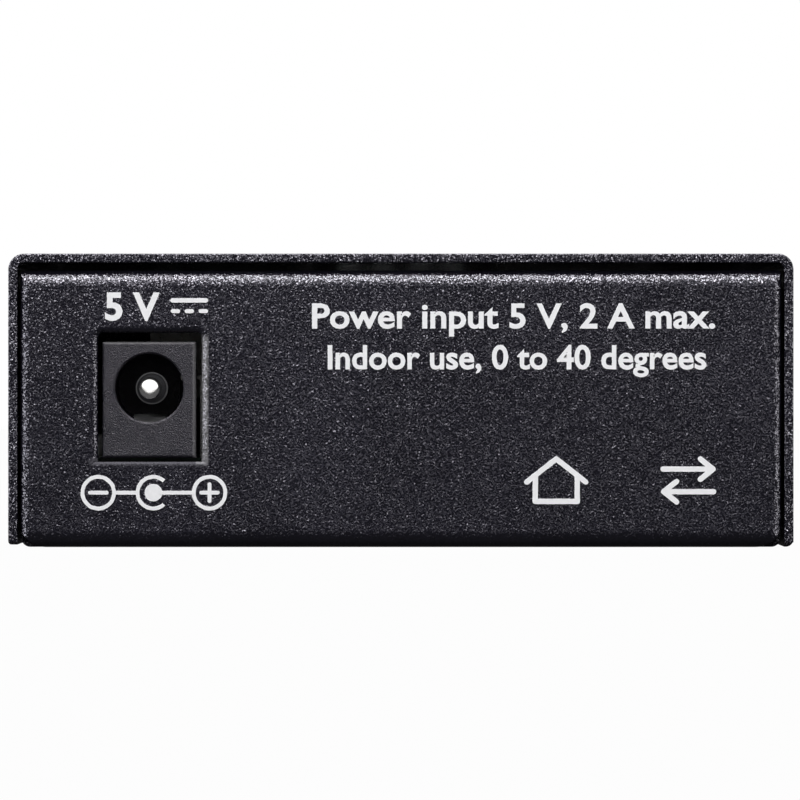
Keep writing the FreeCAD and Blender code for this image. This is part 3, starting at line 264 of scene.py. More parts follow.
# %% Black fine-texture powder coat
def powder_coat(name, lean, punched=False):
    s = Shader(name)
    place = object_place(s)
    relief = grain(s, place, RELIEF_PER_M, 0.6, 0.5)
    if punched:
        beside, roll_highlight, dull = near_jack(s, place)
        smooth = beside * ROLL_SMOOTH
        relief = relief * (1 - smooth) + smooth * 0.5
        lean = (1 - smooth) * lean
    blotch = grain(s, place, BLOTCH_PER_M, 2.0, 0.6)
    tone = (blotch * 0.6 + relief * 0.4).remap(0.35, 0.65, 0, 1)
    colour = blend_colour(s, tone, COAT_DARK, COAT_LIGHT)
    rough = blotch.remap(0.3, 0.7, 0.18, 0.22) + relief.remap(0.3, 0.7, 0.03, -0.03)
    if punched:
        # painted highlight: a lighter grey on the broad right side of the roll
        colour = s.mix(roll_highlight, colour, COAT_ROLL_HIGHLIGHT)
        rough = rough + dull * ROLL_DULL
    skin = bump(s, relief.remap(0.25, 0.75, 0, 1), RELIEF_DEPTH)
    normal = leaning(s, skin, place, GRAIN_PER_M, lean)
    return s.principled(Base_Color=colour, Roughness=rough, Normal=normal, IOR=1.5,
                        Specular_Tint=COAT_SHEEN)


POWDER = powder_coat("powder_coat", GRAIN_LEAN)
POWDER_PUNCHED = powder_coat("powder_coat_punched", GRAIN_LEAN, punched=True)
POWDER_EDGE = powder_coat("powder_coat_edge", EDGE_LEAN)
print("three coats, grains of", round(1 / GRAIN_PER_M / MM, 2), "mm")

# %% [markdown]
# ## Moulded plastics
# Jack, connectors and switch are injection moulded. The mould is spark eroded, which leaves a
# satin skin with a very fine pitting. The recipe is one function, so black, white and grey
# plastics differ by colour and shine alone. Along the upper and right front edges of the jack's
# block a mask from its box paints a lighter grey line, a painted highlight.

# %% Painted highlight on the edges of the jack's block
# A lighter grey painted along the block's upper and right front edges, a painted highlight.
ARRIS_HIGHLIGHT_TONE = (0.055, 0.054, 0.056, 1)
ARRIS_HIGHLIGHT_SHARE = 0.8
# How far in from the block's own faces the grey line fades.
RIGHT_NEAR, RIGHT_FAR = 0.00026, 0.00036
TOP_NEAR, TOP_FAR = 0.00016, 0.00024
ARRIS_DEEP, ARRIS_END = 0.0006, 0.0009


def jack_edge_highlight(s, place):
    """One on the upper and right front edges of the jack's block, nought elsewhere."""
    lo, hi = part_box("dc_jack_housing")
    axes = s.add("ShaderNodeSeparateXYZ", {}, place)
    right = axes.out(0).remap(hi.x - RIGHT_FAR, hi.x - RIGHT_NEAR, 0, 1)
    top = axes.out(2).remap(hi.z - TOP_FAR, hi.z - TOP_NEAR, 0, 1)
    front = axes.out(1).remap(lo.y + ARRIS_DEEP, lo.y + ARRIS_END, 1, 0)
    return right.math("MAXIMUM", top) * front


# %% One recipe for satin plastic
def plastic(name, dark, light, shine_low, shine_high, pits=9000, depth=0.000006,
            sheen=(1, 1, 1, 1), lighter_edge=None):
    s = Shader(name)
    place = object_place(s)
    fine = grain(s, place, pits, 2.0, 0.55)
    wide = grain(s, place, 260, 2.0, 0.5)
    colour = blend_colour(s, (wide * 0.6 + fine * 0.4).remap(0.35, 0.65, 0, 1), dark, light)
    if lighter_edge:
        # painted highlight along the upper and right front edges of the jack's block
        colour = s.mix(lighter_edge(s, place) * ARRIS_HIGHLIGHT_SHARE, colour, ARRIS_HIGHLIGHT_TONE)
    rough = wide.remap(0.3, 0.7, shine_low, shine_high)
    return s.principled(Base_Color=colour, Roughness=rough, Normal=bump(s, fine, depth),
                        Specular_Tint=sheen)


JACK_SHEEN = (0.54, 0.515, 0.555, 1)
JACK_BLACK = plastic("jack_plastic", (0.004, 0.004, 0.006), (0.009, 0.0085, 0.011), 0.26, 0.36,
                     9500, 0.00010, JACK_SHEEN, jack_edge_highlight)
CONNECTOR_BLACK = plastic("connector_plastic", (0.014, 0.014, 0.015), (0.024, 0.024, 0.026), 0.38, 0.5)
SWITCH_BLACK = plastic("switch_plastic", (0.016, 0.016, 0.018), (0.026, 0.026, 0.028), 0.35, 0.5)
SLIDER_WHITE = plastic("slider_plastic", (0.66, 0.66, 0.63), (0.8, 0.8, 0.77), 0.3, 0.45)
CHIP_BLACK = plastic("chip_resin", (0.012, 0.012, 0.013), (0.022, 0.022, 0.023), 0.5, 0.62,
                     6000, 0.000012)
FERRITE = plastic("ferrite", (0.035, 0.035, 0.038), (0.06, 0.06, 0.062), 0.55, 0.7, 4200, 0.00002)
FUSE_GREEN = plastic("fuse_green", (0.03, 0.10, 0.05), (0.05, 0.14, 0.07), 0.4, 0.5)
CERAMIC_BLACK = plastic("resistor_glaze", (0.015, 0.015, 0.016), (0.03, 0.03, 0.032), 0.2, 0.32)
CERAMIC_TAN = plastic("capacitor_ceramic", (0.22, 0.14, 0.075), (0.31, 0.2, 0.11), 0.4, 0.5)
LED_WHITE = plastic("diode_body", (0.62, 0.62, 0.5), (0.74, 0.74, 0.62), 0.2, 0.3)
print("plastics and resins ready")

# %% [markdown]
# ## Plated metals
# Nickel, tin, zinc and gold differ in colour and in how the strip was rolled. Long stretched noise
# gives the rolling lines, and a broad one gives the faint clouding of thin plating.

# %% One recipe for plated metal
ROLLED_ALONG_Y = (1.0, 0.08, 1.0)


def plated(name, dark, light, shine_low, shine_high, lines=5200, depth=0.000003):
    s = Shader(name)
    place = object_place(s)
    rolled = grain(s, stretched(s, place, (0, 0, 0), ROLLED_ALONG_Y), lines, 2.0, 0.6)
    cloud = grain(s, place, 420, 3.0, 0.55)
    colour = blend_colour(s, cloud.remap(0.3, 0.7, 0, 1), dark, light)
    rough = (cloud * 0.7 + rolled * 0.3).remap(0.35, 0.65, shine_low, shine_high)
    return s.principled(Base_Color=colour, Roughness=rough, Metallic=1.0,
                        Normal=bump(s, rolled, depth))


NICKEL = plated("bright_nickel", (0.60, 0.59, 0.56), (0.74, 0.73, 0.70), 0.14, 0.24)
SHEET = plated("nickel_sheet", (0.50, 0.49, 0.46), (0.64, 0.63, 0.60), 0.26, 0.38)
SPRING = plated("tinned_spring", (0.46, 0.44, 0.40), (0.60, 0.58, 0.54), 0.24, 0.36)
ZINC = plated("bright_zinc", (0.48, 0.49, 0.48), (0.62, 0.63, 0.63), 0.24, 0.4)
GOLD = plated("contact_gold", (0.72, 0.48, 0.15), (0.86, 0.62, 0.26), 0.16, 0.26)
# painted shade: the leaf deep in the jack's bore gets a far darker tone than the spring metal
SHADED_LEAF = plated("tinned_leaf", (0.14, 0.14, 0.145), (0.20, 0.20, 0.205), 0.5, 0.6)
CAN = plated("can_aluminium", (0.56, 0.57, 0.58), (0.70, 0.71, 0.72), 0.26, 0.36)
BLACK_SCREW = plated("blackened_steel", (0.030, 0.030, 0.032), (0.055, 0.055, 0.058), 0.32, 0.45)
print("metals ready")

# %% [markdown]
# ## Circuit board and light guides
# The board is green lacquer over copper, so the tracks show as slightly lighter, raised lines.
# Brick texture laid at 45 degrees would look drawn; a thresholded noise looks like poured copper.
# The light guides are clear plastic, so they need transmission rather than colour.

# %% Board lacquer and clear guide
BOARD_DARK = (0.005, 0.030, 0.013)
BOARD_LIGHT = (0.012, 0.068, 0.027)
COPPER_TURN = (0, 0, 0.785)
COPPER_DEPTH = 0.00002


def board_finish():
    s = Shader("board_lacquer")
    place = object_place(s)
    flow = grain(s, stretched(s, place, COPPER_TURN, (1, 0.35, 1)), 620, 1.0, 0.4)
    copper = flow.remap(0.49, 0.51, 0, 1)
    cloud = grain(s, place, 300, 2.0, 0.5)
    tone = (copper * 0.75 + cloud * 0.25).clamp(0, 1)
    return s.principled(Base_Color=blend_colour(s, tone, BOARD_DARK, BOARD_LIGHT),
                        Roughness=cloud.remap(0.3, 0.7, 0.22, 0.34),
                        Normal=bump(s, copper, COPPER_DEPTH))


def clear_finish():
    s = Shader("clear_guide")
    ripple = grain(s, object_place(s), 700, 1.0, 0.4)
    colour = blend_colour(s, ripple, (0.82, 0.85, 0.86), (0.92, 0.94, 0.95))
    return s.principled(Base_Color=colour, Roughness=ripple.remap(0.3, 0.7, 0.05, 0.16), IOR=1.49,
                        Transmission_Weight=0.55, Normal=bump(s, ripple, 0.00001))


BOARD = board_finish()
CLEAR = clear_finish()
print("board and light guides ready")

# %% [markdown]
# ## The centre pin of the jack
# The pin is turned from brass and nickel plated, so its tip mirrors the room. Its collar sits deep
# in the moulding, where flash and grime leave it nearly black but for its rubbed rim. Finishes like
# these on one turned piece could be three materials. One that changes with depth and radius keeps
# the piece whole.

# %% Bright pin with a dark foot
PIN_LO, PIN_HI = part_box("dc_jack_centre_pin")
PIN_HEIGHT = 0.0065
PIN_X = (PIN_LO.x + PIN_HI.x) / 2
PIN_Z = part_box("dc_jack_housing")[0].z + PIN_HEIGHT
COLLAR_R = 0.001505
COLLAR_DEPTH = 0.00716
FOOT_START, FOOT_FULL = COLLAR_DEPTH - 0.0010, COLLAR_DEPTH - 0.0002
RUB_START, RUB_FULL = COLLAR_R - 0.00018, COLLAR_R - 0.00009


def pin_finish():
    s = Shader("pin_nickel")
    place = object_place(s)
    axes = s.add("ShaderNodeSeparateXYZ", {}, place)
    foot = axes.out(1).remap(PIN_LO.y + FOOT_START, PIN_LO.y + FOOT_FULL, 0, 1)
    across, up = axes.out(0) - PIN_X, axes.out(2) - PIN_Z
    radius = (across * across + up * up).math("SQRT")
    lighter_edge = radius.remap(RUB_START, RUB_FULL, 0, 1)
    grimy = blend_colour(s, lighter_edge, (0.055, 0.055, 0.06), (0.26, 0.26, 0.27))
    cloud = grain(s, place, 900, 2.0, 0.5)
    bright = blend_colour(s, cloud, (0.70, 0.69, 0.67), (0.80, 0.79, 0.77))
    rough = foot.remap(0, 1, 0.07, 0.38) + cloud * 0.03
    return s.principled(Base_Color=s.mix(foot, bright, grimy), Metallic=foot.remap(0, 1, 1, 0.6),
                        Roughness=rough, Normal=bump(s, cloud, 0.000002))


PIN = pin_finish()
print("pin axis at", round(PIN_X / MM, 2), round(PIN_Z / MM, 2), "mm")

# %% [markdown]
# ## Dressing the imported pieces
# Each piece says in its record what it is made of. Materials could be set piece by piece, but one
# table from that word to a finish keeps like pieces alike. Three pieces differ from their word.

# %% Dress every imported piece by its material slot
FINISH_OF_SLOT = {
    "case_black": POWDER, "screw_black": BLACK_SCREW, "zinc_steel": ZINC, "board_green": BOARD,
    "jack_black": JACK_BLACK, "nickel": NICKEL, "nickel_sheet": SHEET, "spring_steel": SPRING,
    "connector_black": CONNECTOR_BLACK, "gold": GOLD, "switch_black": SWITCH_BLACK,
    "slider_white": SLIDER_WHITE, "clear_guide": CLEAR, "led_white": LED_WHITE,
    "chip_black": CHIP_BLACK, "ferrite": FERRITE, "can_aluminium": CAN, "fuse_green": FUSE_GREEN,
    "resistor_black": CERAMIC_BLACK, "ceramic_tan": CERAMIC_TAN,
}


def dress(obj, material):
    obj.data.materials.clear()
    obj.data.materials.append(material)


for row in frame["record"]["subparts"]:
    dress(NODES[row["node"]], FINISH_OF_SLOT[row["material_slot"]])
dress(NODES["dc_jack_centre_pin"], PIN)
dress(NODES["base_tray"], POWDER_PUNCHED)
# the leaf spring takes the darker metal, painted shade for its place deep in the bore
dress(NODES["dc_jack_sleeve_spring"], SHADED_LEAF)

# %% [markdown]
# ## Growing repeats with Geometry Nodes
# What repeats, or follows a path, is grown by a node tree instead of being typed out. The tree gets
# named sizes, so a learner can open it and turn them. A helper builds the tree, runs it once and
# keeps the result as a plain mesh, because an exported piece can't carry a live modifier.

# %% One helper for every Geometry Nodes tree
def in_scene(name, data):
    """New object at the origin, linked to the scene."""
    obj = bpy.data.objects.new(name, data)
    bpy.context.scene.collection.objects.link(obj)
    return obj


class Growth:
    """A Geometry Nodes tree with named sizes that turns a starting mesh into a finished one."""

    def __init__(self, name, sizes):
        self.tree = bpy.data.node_groups.new(name, "GeometryNodeTree")
        face = self.tree.interface
        face.new_socket("Geometry", in_out="INPUT", socket_type="NodeSocketGeometry")
        face.new_socket("Geometry", in_out="OUTPUT", socket_type="NodeSocketGeometry")
        self.sizes = sizes
        self.keys = {}
        for label in sizes:
            socket = face.new_socket(label, in_out="INPUT", socket_type="NodeSocketFloat")
            self.keys[label] = socket.identifier
        self.start = self.tree.nodes.new("NodeGroupInput")
        self.end = self.tree.nodes.new("NodeGroupOutput")

    def size(self, label):
        return self.start.outputs[label]

    def add(self, kind, settings=None, **inputs):
        """Add a node; inputs are values or the outputs of other nodes."""
        node = self.tree.nodes.new(kind)
        for key, value in (settings or {}).items():
            setattr(node, key, value)
        for key, value in inputs.items():
            socket = node.inputs[int(key[1:])] if key[0] == "_" else node.inputs[key.replace("_", " ")]
            if isinstance(value, bpy.types.NodeSocket):
                self.tree.links.new(value, socket)
            else:
                socket.default_value = value
        return next(out for out in node.outputs if out.enabled)

    def vector(self, x, y, z):
        return self.add("ShaderNodeCombineXYZ", X=x, Y=y, Z=z)

    def grow(self, name, verts, edges, material, layers=None):
        """Run the tree on a small starting mesh and return a plain object."""
        last = self.tree.nodes[-1].outputs[0]
        real = self.add("GeometryNodeRealizeInstances", Geometry=last)
        coated = self.add("GeometryNodeSetMaterial", Geometry=real, Material=material)
        self.tree.links.new(coated, self.end.inputs[0])
        data = bpy.data.meshes.new(name + "_start")
        data.from_pydata(verts, edges, [])
        for label, values in (layers or {}).items():
            layer = data.attributes.new(label, "FLOAT_VECTOR", "POINT")
            layer.data.foreach_set("vector", [n for value in values for n in value])
        seed = in_scene(name + "_start", data)
        modifier = seed.modifiers.new("grow", "NODES")
        modifier.node_group = self.tree
        for label, value in self.sizes.items():
            modifier[self.keys[label]] = value
        bpy.context.view_layer.update()
        graph = bpy.context.evaluated_depsgraph_get()
        mesh = bpy.data.meshes.new_from_object(seed.evaluated_get(graph), depsgraph=graph)
        bpy.data.objects.remove(seed)
        print(name, "has", len(mesh.polygons), "faces")
        return in_scene(name, mesh)


# %% [markdown]
# ## The coated rim of the cover
# Powder builds up on a cut edge and bakes into a soft round bead. A bevel on the whole cover would
# also touch vents and folds. A thin soft-cornered strip swept along the rim follows just the edge.

# %% Soft strip swept along both open ends
COAT_SHEET = 0.00085
BEND_OUTSIDE = 0.00145
STOP_LEFT, STOP_RIGHT = 0.0005, 0.0004


def rim_bead():
    lo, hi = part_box("top_cover")
    half, top = hi.x - COAT_SHEET / 2, hi.z - COAT_SHEET / 2
    verts, edges = [], []
    for y in (lo.y, hi.y):
        first = len(verts)
        verts += [(-half, y, lo.z + STOP_LEFT), (-half, y, top),
                  (half, y, top), (half, y, lo.z + STOP_RIGHT)]
        edges += [(first + i, first + i + 1) for i in range(3)]
    g = Growth("rim_bead", {"Sheet": COAT_SHEET, "Bead": 0.00032, "Roll": 0.00013,
                            "Bend": BEND_OUTSIDE - COAT_SHEET / 2})
    path = g.add("GeometryNodeMeshToCurve", Mesh=g.start.outputs[0])
    path = g.add("GeometryNodeFilletCurve", {"mode": "POLY"}, Curve=path, Count=8,
                 Radius=g.size("Bend"))
    oval = g.add("GeometryNodeCurvePrimitiveQuadrilateral", {"mode": "RECTANGLE"},
                 Width=g.size("Sheet"), Height=g.size("Bead"))
    oval = g.add("GeometryNodeFilletCurve", {"mode": "POLY"}, Curve=oval, Count=5,
                 Radius=g.size("Roll"))
    bead = g.add("GeometryNodeCurveToMesh", Curve=path, Profile_Curve=oval, Fill_Caps=True)
    g.add("GeometryNodeSetShadeSmooth", Geometry=bead)
    bead = g.grow("cover_rim_coat", verts, edges, POWDER_EDGE)
    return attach(bead, "case_and_board")


rim_bead()

# %% [markdown]
# ## Cross recesses of the screws
# A driver recess is a tapered cross pressed into the head. Painting a black cross would look flat
# from the side. Here the tree builds one tapered cutter, sets a copy at each head, turned to face
# the way the head faces, and cuts them all out of the plain screws in one go.

# %% Tapered cross cut out of plain heads
RECESS_SIZES = {"Reach": 0.0014, "Deep": 0.0012, "Blade": 0.22}
SQUARE_CORNER = 1.4142
WELD = 0.000002


def cross_cutter(g):
    """Two tapered blades at right angles, joined, with their wide end at the origin."""
    width = g.add("ShaderNodeMath", {"operation": "MULTIPLY"}, _0=g.size("Reach"), _1=g.size("Blade"))
    long_side = g.vector(g.size("Reach"), width, g.size("Deep"))
    blade = g.add("GeometryNodeMeshCone", Vertices=4, Radius_Top=SQUARE_CORNER, Radius_Bottom=0.5,
                  Depth=2.0)
    blade = g.add("GeometryNodeTransform", Geometry=blade, Translation=(0, 0, -1.0),
                  Rotation=g.vector(0.0, 0.0, math.pi / 4))
    first = g.add("GeometryNodeTransform", Geometry=blade, Scale=long_side)
    second = g.add("GeometryNodeTransform", Geometry=first, Rotation=g.vector(0.0, 0.0, math.pi / 2))
    cross = g.add("GeometryNodeMeshBoolean", {"operation": "UNION", "solver": "EXACT"}, Mesh_2=first)
    g.tree.links.new(second, cross.node.inputs["Mesh 2"])
    return cross


def cross_recess(node, places, outward, material):
    g = Growth("cross_recess", RECESS_SIZES)
    cross = cross_cutter(g)
    facing = g.add("GeometryNodeInputNamedAttribute", {"data_type": "FLOAT_VECTOR"}, Name="outward")
    turn = g.add("FunctionNodeAlignRotationToVector", {"axis": "Z"}, Vector=facing)
    cutters = g.add("GeometryNodeInstanceOnPoints", Points=g.start.outputs[0], Instance=cross,
                    Rotation=turn)
    cutters = g.add("GeometryNodeRealizeInstances", Geometry=cutters)
    plain = g.add("GeometryNodeObjectInfo", {"transform_space": "ORIGINAL"}, Object=NODES[node])
    plain = plain.node.outputs["Geometry"]
    plain = g.add("GeometryNodeMergeByDistance", Geometry=plain, Distance=WELD)
    cut = g.add("GeometryNodeMeshBoolean", {"operation": "DIFFERENCE", "solver": "EXACT"}, _0=plain)
    g.tree.links.new(cutters, cut.node.inputs["Mesh 2"])
    layers = {"outward": [outward(p) for p in places]}
    screws = g.grow(node + "_cut", places, [], material, layers)
    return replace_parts(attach(screws, "case_and_board"), node)


# %% Cut the two side screws and the four board screws
HEAD_R = 0.0028
NEAR_LEFT_Y = -0.0203  # this screw stands further back than its fellow, clear of the jack
cover_lo, cover_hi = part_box("cover_screws")
head_y = (cover_lo.y + cover_hi.y) / 2
head_z = (cover_lo.z + cover_hi.z) / 2
cross_recess("cover_screws", [(cover_lo.x, head_y, head_z), (cover_hi.x, head_y, head_z)],
             lambda p: (math.copysign(1, p[0]), 0, 0), BLACK_SCREW)
board_lo, board_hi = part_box("pcb_screws")
left_x, right_x = board_lo.x + HEAD_R, board_hi.x - HEAD_R
cross_recess("pcb_screws", [(left_x, NEAR_LEFT_Y, board_hi.z),
                            (left_x, board_hi.y - HEAD_R, board_hi.z),
                            (right_x, board_lo.y + HEAD_R, board_hi.z),
                            (right_x, board_hi.y - HEAD_R, board_hi.z)],
             lambda p: (0, 0, 1), ZINC)

# %% [markdown]
# ## The polished tip of the pin
# The end of the pin is turned to a shallow dome with a rounded shoulder. Its curve decides what it
# mirrors, so it wants many fine rings. A short outline turned round the axis gives them. The
# collar's front edge is made in the same way.

# %% Outline turned round the axis of the jack
def turned(name, front_y, outline, sides=56):
    """Solid turned about the pin's axis; outline pairs are radius and depth in metres."""
    mesh = bmesh.new()
    turns = [2 * math.pi * i / sides for i in range(sides)]
    rings = []
    for r, depth in outline:
        spots = [(PIN_X + r * math.cos(t), front_y + depth, PIN_Z + r * math.sin(t)) for t in turns]
        rings.append([mesh.verts.new(spot) for spot in spots])
    for a, b in zip(rings, rings[1:]):
        for i in range(sides):
            mesh.faces.new([a[i], a[(i + 1) % sides], b[(i + 1) % sides], b[i]])
    mesh.faces.new(rings[0])
    mesh.faces.new(rings[-1])
    bmesh.ops.recalc_face_normals(mesh, faces=mesh.faces)
    for face in mesh.faces:
        face.smooth = len(face.verts) == 4
    data = bpy.data.meshes.new(name)
    mesh.to_mesh(data)
    mesh.free()
    obj = in_scene(name, data)
    dress(obj, PIN)
    print(name, "has", len(data.polygons), "faces")
    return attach(obj, "case_and_board")


# %% Dome of the tip and shoulder of the collar
TIP_R = 0.001005
TIP_PROUD, TIP_BACK = 0.00003, 0.00095
DOME_SHARE = 0.88
DOME_DEEP = 0.00007
DOME_RINGS = 14
SHOULDER_START, SHOULDER_DEEP = 0.00002, 0.00016
SHOULDER_RINGS = 6
COLLAR_ROUND = 0.00022
COLLAR_BORE, COLLAR_BACK = 0.0006, 0.0007


def quarter_turn():
    """Angles of the rings of a rounded shoulder."""
    return [math.radians(90 / SHOULDER_RINGS * i) for i in range(1, SHOULDER_RINGS + 1)]


def pin_tip():
    """A dome that is nearly flat in the middle, then a rounded shoulder."""
    outline = []
    for i in range(1, DOME_RINGS + 1):
        share = i / DOME_RINGS * DOME_SHARE
        outline.append((TIP_R * share, DOME_DEEP * share ** 6 - TIP_PROUD))
    for t in quarter_turn():
        r = TIP_R * (DOME_SHARE + (1 - DOME_SHARE) * math.sin(t))
        outline.append((r, SHOULDER_START + SHOULDER_DEEP * (1 - math.cos(t))))
    outline.append((TIP_R, TIP_BACK))
    turned("pin_tip", PIN_LO.y, outline)


def pin_collar():
    """Rounded shoulder on the front edge of the collar."""
    outline = [(COLLAR_BORE, 0.0), (COLLAR_R - COLLAR_ROUND, 0.0)]
    for t in quarter_turn():
        r = COLLAR_R - COLLAR_ROUND * (1 - math.sin(t))
        outline.append((r, COLLAR_ROUND * (1 - math.cos(t))))
    outline.append((COLLAR_R, COLLAR_BACK))
    turned("pin_collar", PIN_LO.y + COLLAR_DEPTH, outline)


pin_tip()
pin_collar()

# %% [markdown]
# ## Printing
# The panel is pad printed in white. Ink has a little body and its edge creeps on rough coating,
# so each mark is a thin raised mesh with a slightly uneven outline. Marks painted on as a texture
# would blur up close.

# %% White ink
INK_T = 0.02
INK_WOBBLE = 0.022
INK_STEP = 0.0012


def ink_finish():
    s = Shader("white_ink")
    fine = grain(s, object_place(s), 3600, 2.0, 0.5)
    colour = blend_colour(s, fine.remap(0.25, 0.75, 0, 1), (0.93, 0.93, 0.95), (0.99, 0.99, 1.0))
    return s.principled(Base_Color=colour, Roughness=fine.remap(0.3, 0.7, 0.5, 0.65),
                        Normal=bump(s, fine, 0.000008))


INK = ink_finish()
print("ink is", INK_T, "mm thick")

# %% [markdown]
# ## Letters
# Words come from the built-in letters, thickened to the weight of printed ones. A text object
# would carry its own place and scale, so only its flat triangles are kept.

# %% Flat triangles of some words
def letter_mesh(body, bold):
    """Flat triangles of some words from the built-in letters."""
    curve = bpy.data.curves.new("letters", "FONT")
    curve.body = body
    curve.offset = bold
    curve.resolution_u = 4
    obj = in_scene("letters", curve)
    bpy.context.view_layer.update()
    mesh = obj.evaluated_get(bpy.context.evaluated_depsgraph_get()).to_mesh()
    points = [tuple(v.co) for v in mesh.vertices]
    faces = [tuple(p.vertices) for p in mesh.polygons]
    bpy.data.objects.remove(obj)
    bpy.data.curves.remove(curve)
    return points, faces


CAP_HEIGHT = max(p[1] for p in letter_mesh("H", 0.0)[0])
print("a capital is", round(CAP_HEIGHT, 3), "high before it is scaled")

# %% [markdown]
# ## A sheet of marks
# Marks are drawn as strokes of one width, the way a drafting pen would, in millimetres and as seen
# from outside one end of the case. Strokes that cross would lie in one plane and flicker, so each
# lies a hair above the last. At the end the whole sheet gets its thickness at once.

# %% Strokes, discs and filled outlines on a flat face
PEN_BIT = 0.25
ARC_BIT = 5


class Sheet:
    """Collects flat outlines in millimetres, seen from outside one end of the case."""

    def __init__(self, name, side, face_y):
        self.name = name
        self.side = side
        self.face_y = face_y
        self.lift = 0.0
        self.mesh = bmesh.new()

    def place(self, x, z):
        """Point on the face, moved a little by the creep of the ink."""
        wobble = noise.noise(Vector((x * 2.1, z * 2.1, 3.7))) * INK_WOBBLE
        shift = noise.noise(Vector((x * 2.3, z * 1.9, 9.1))) * INK_WOBBLE
        y = self.face_y + self.side * self.lift
        return Vector((-self.side * (x + wobble) * MM, y * MM, (z + shift) * MM))

    def polygon(self, points):
        """Filled outline at the present height."""
        verts = [self.mesh.verts.new(self.place(x, z)) for x, z in points]
        self.mesh.faces.new(verts)

    def stroke(self, points, width):
        """A pen line with round ends through the given points."""
        half = width / 2
        for (xa, za), (xb, zb) in zip(points, points[1:]):
            run = math.hypot(xb - xa, zb - za)
            steps = max(1, int(run / PEN_BIT))
            along = math.atan2(zb - za, xb - xa)
            outline = []
            for x0, z0, turn in ((xa, za, along + math.pi), (xb, zb, along)):
                for i in range(7):
                    t = turn - math.pi / 2 + math.pi * i / 6
                    outline.append((x0 + half * math.cos(t), z0 + half * math.sin(t)))
                xe, ze = (xb, zb) if x0 == xa and z0 == za else (xa, za)
                side_x, side_z = outline[-1][0] - x0, outline[-1][1] - z0
                for i in range(1, steps):
                    outline.append((x0 + (xe - x0) * i / steps + side_x,
                                    z0 + (ze - z0) * i / steps + side_z))
            self.polygon(outline)
            self.lift += INK_STEP

    def disc(self, x, z, r, sides=36):
        turn = [2 * math.pi * i / sides for i in range(sides)]
        self.polygon([(x + r * math.cos(t), z + r * math.sin(t)) for t in turn])
        self.lift += INK_STEP

    def arc(self, x, z, r, width, start=0.0, end=360.0):
        """Part of a ring; r is its outer radius and angles are in degrees."""
        steps = max(8, int(abs(end - start) / ARC_BIT))
        turn = [math.radians(start + (end - start) * i / steps) for i in range(steps + 1)]
        inner = r - width
        for a, b in zip(turn, turn[1:]):
            corners = ((r, a), (r, b), (inner, b), (inner, a))
            self.polygon([(x + far * math.cos(t), z + far * math.sin(t)) for far, t in corners])
        self.lift += INK_STEP

    def letters(self, body, x0, x1, z, cap, bold):
        """Words between x0 and x1 whose capitals stand cap high on the line z."""
        points, faces = letter_mesh(body, bold)
        wide = max(p[0] for p in points)
        start = min(p[0] for p in points)
        scale_x = (x1 - x0) / (wide - start)
        scale_z = cap / CAP_HEIGHT
        spots = [self.place(x0 + (p[0] - start) * scale_x, z + p[1] * scale_z) for p in points]
        verts = [self.mesh.verts.new(spot) for spot in spots]
        for face in faces:
            self.mesh.faces.new([verts[i] for i in face])

    def finish(self):
        """Give the ink its thickness and make it ride on the case."""
        bmesh.ops.recalc_face_normals(self.mesh, faces=self.mesh.faces)
        lower = bmesh.ops.extrude_face_region(self.mesh, geom=list(self.mesh.faces))
        moved = [v for v in lower["geom"] if isinstance(v, bmesh.types.BMVert)]
        bmesh.ops.translate(self.mesh, verts=moved, vec=(0, self.side * INK_T * MM, 0))
        bmesh.ops.recalc_face_normals(self.mesh, faces=self.mesh.faces)
        data = bpy.data.meshes.new(self.name)
        self.mesh.to_mesh(data)
        self.mesh.free()
        obj = in_scene(self.name, data)
        dress(obj, INK)
        print(self.name, "has", len(data.polygons), "faces")
        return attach(obj, "case_and_board")


PANEL_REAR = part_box("base_tray")[0].y / MM
PANEL_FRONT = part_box("base_tray")[1].y / MM
print("panels at", round(PANEL_REAR, 2), "and", round(PANEL_FRONT, 2), "mm")

# %% [markdown]
# ## Voltage mark over the jack
# A maker prints the supply voltage over the hole. Here it is the bare value and the standard sign
# for direct current: one solid bar over three dashes.

# %% Five volts, direct current
BAR_LEFT, BAR_RIGHT, BAR_Z, BAR_PEN = -21.2, -18.1, 22.95, 0.42
DASH_STEP, DASH_LONG, DASH_Z, DASH_PEN = 1.3, 0.5, 21.95, 0.38
voltage = Sheet("print_voltage", -1, PANEL_REAR)
voltage.letters("5 V", -27.5, -22.4, 21.17, 2.42, 0.03)
voltage.stroke([(BAR_LEFT, BAR_Z), (BAR_RIGHT, BAR_Z)], BAR_PEN)
for dash in range(3):
    left = BAR_LEFT + dash * DASH_STEP
    voltage.stroke([(left, DASH_Z), (left + DASH_LONG, DASH_Z)], DASH_PEN)
voltage.finish()

# %% [markdown]
# ## Polarity mark
# Two circles with a minus and a plus are joined to an open ring round a dot. The ring is the
# sleeve of the plug and the dot is its centre, so the mark tells which of them is positive.

# %% Polarity
LINE_Z = 5.08
PEN = 0.36
RING_R = 1.65
MINUS_X, PLUG_X, PLUS_X = -28.12, -23.0, -17.78
SIGN_ARM, SIGN_GAP = 0.78, 0.2
polarity = Sheet("print_polarity", -1, PANEL_REAR)
for x in (MINUS_X, PLUS_X):
    polarity.arc(x, LINE_Z, RING_R, PEN)
    polarity.stroke([(x - SIGN_ARM, LINE_Z), (x + SIGN_ARM, LINE_Z)], PEN)
polarity.stroke([(PLUS_X, LINE_Z - SIGN_ARM), (PLUS_X, LINE_Z - SIGN_GAP)], PEN)
polarity.stroke([(PLUS_X, LINE_Z + SIGN_GAP), (PLUS_X, LINE_Z + SIGN_ARM)], PEN)
polarity.arc(PLUG_X, LINE_Z, RING_R, PEN, 48, 312)
polarity.disc(PLUG_X, LINE_Z, 0.82)
polarity.stroke([(MINUS_X + RING_R, LINE_Z), (PLUG_X - RING_R + 0.1, LINE_Z)], PEN)
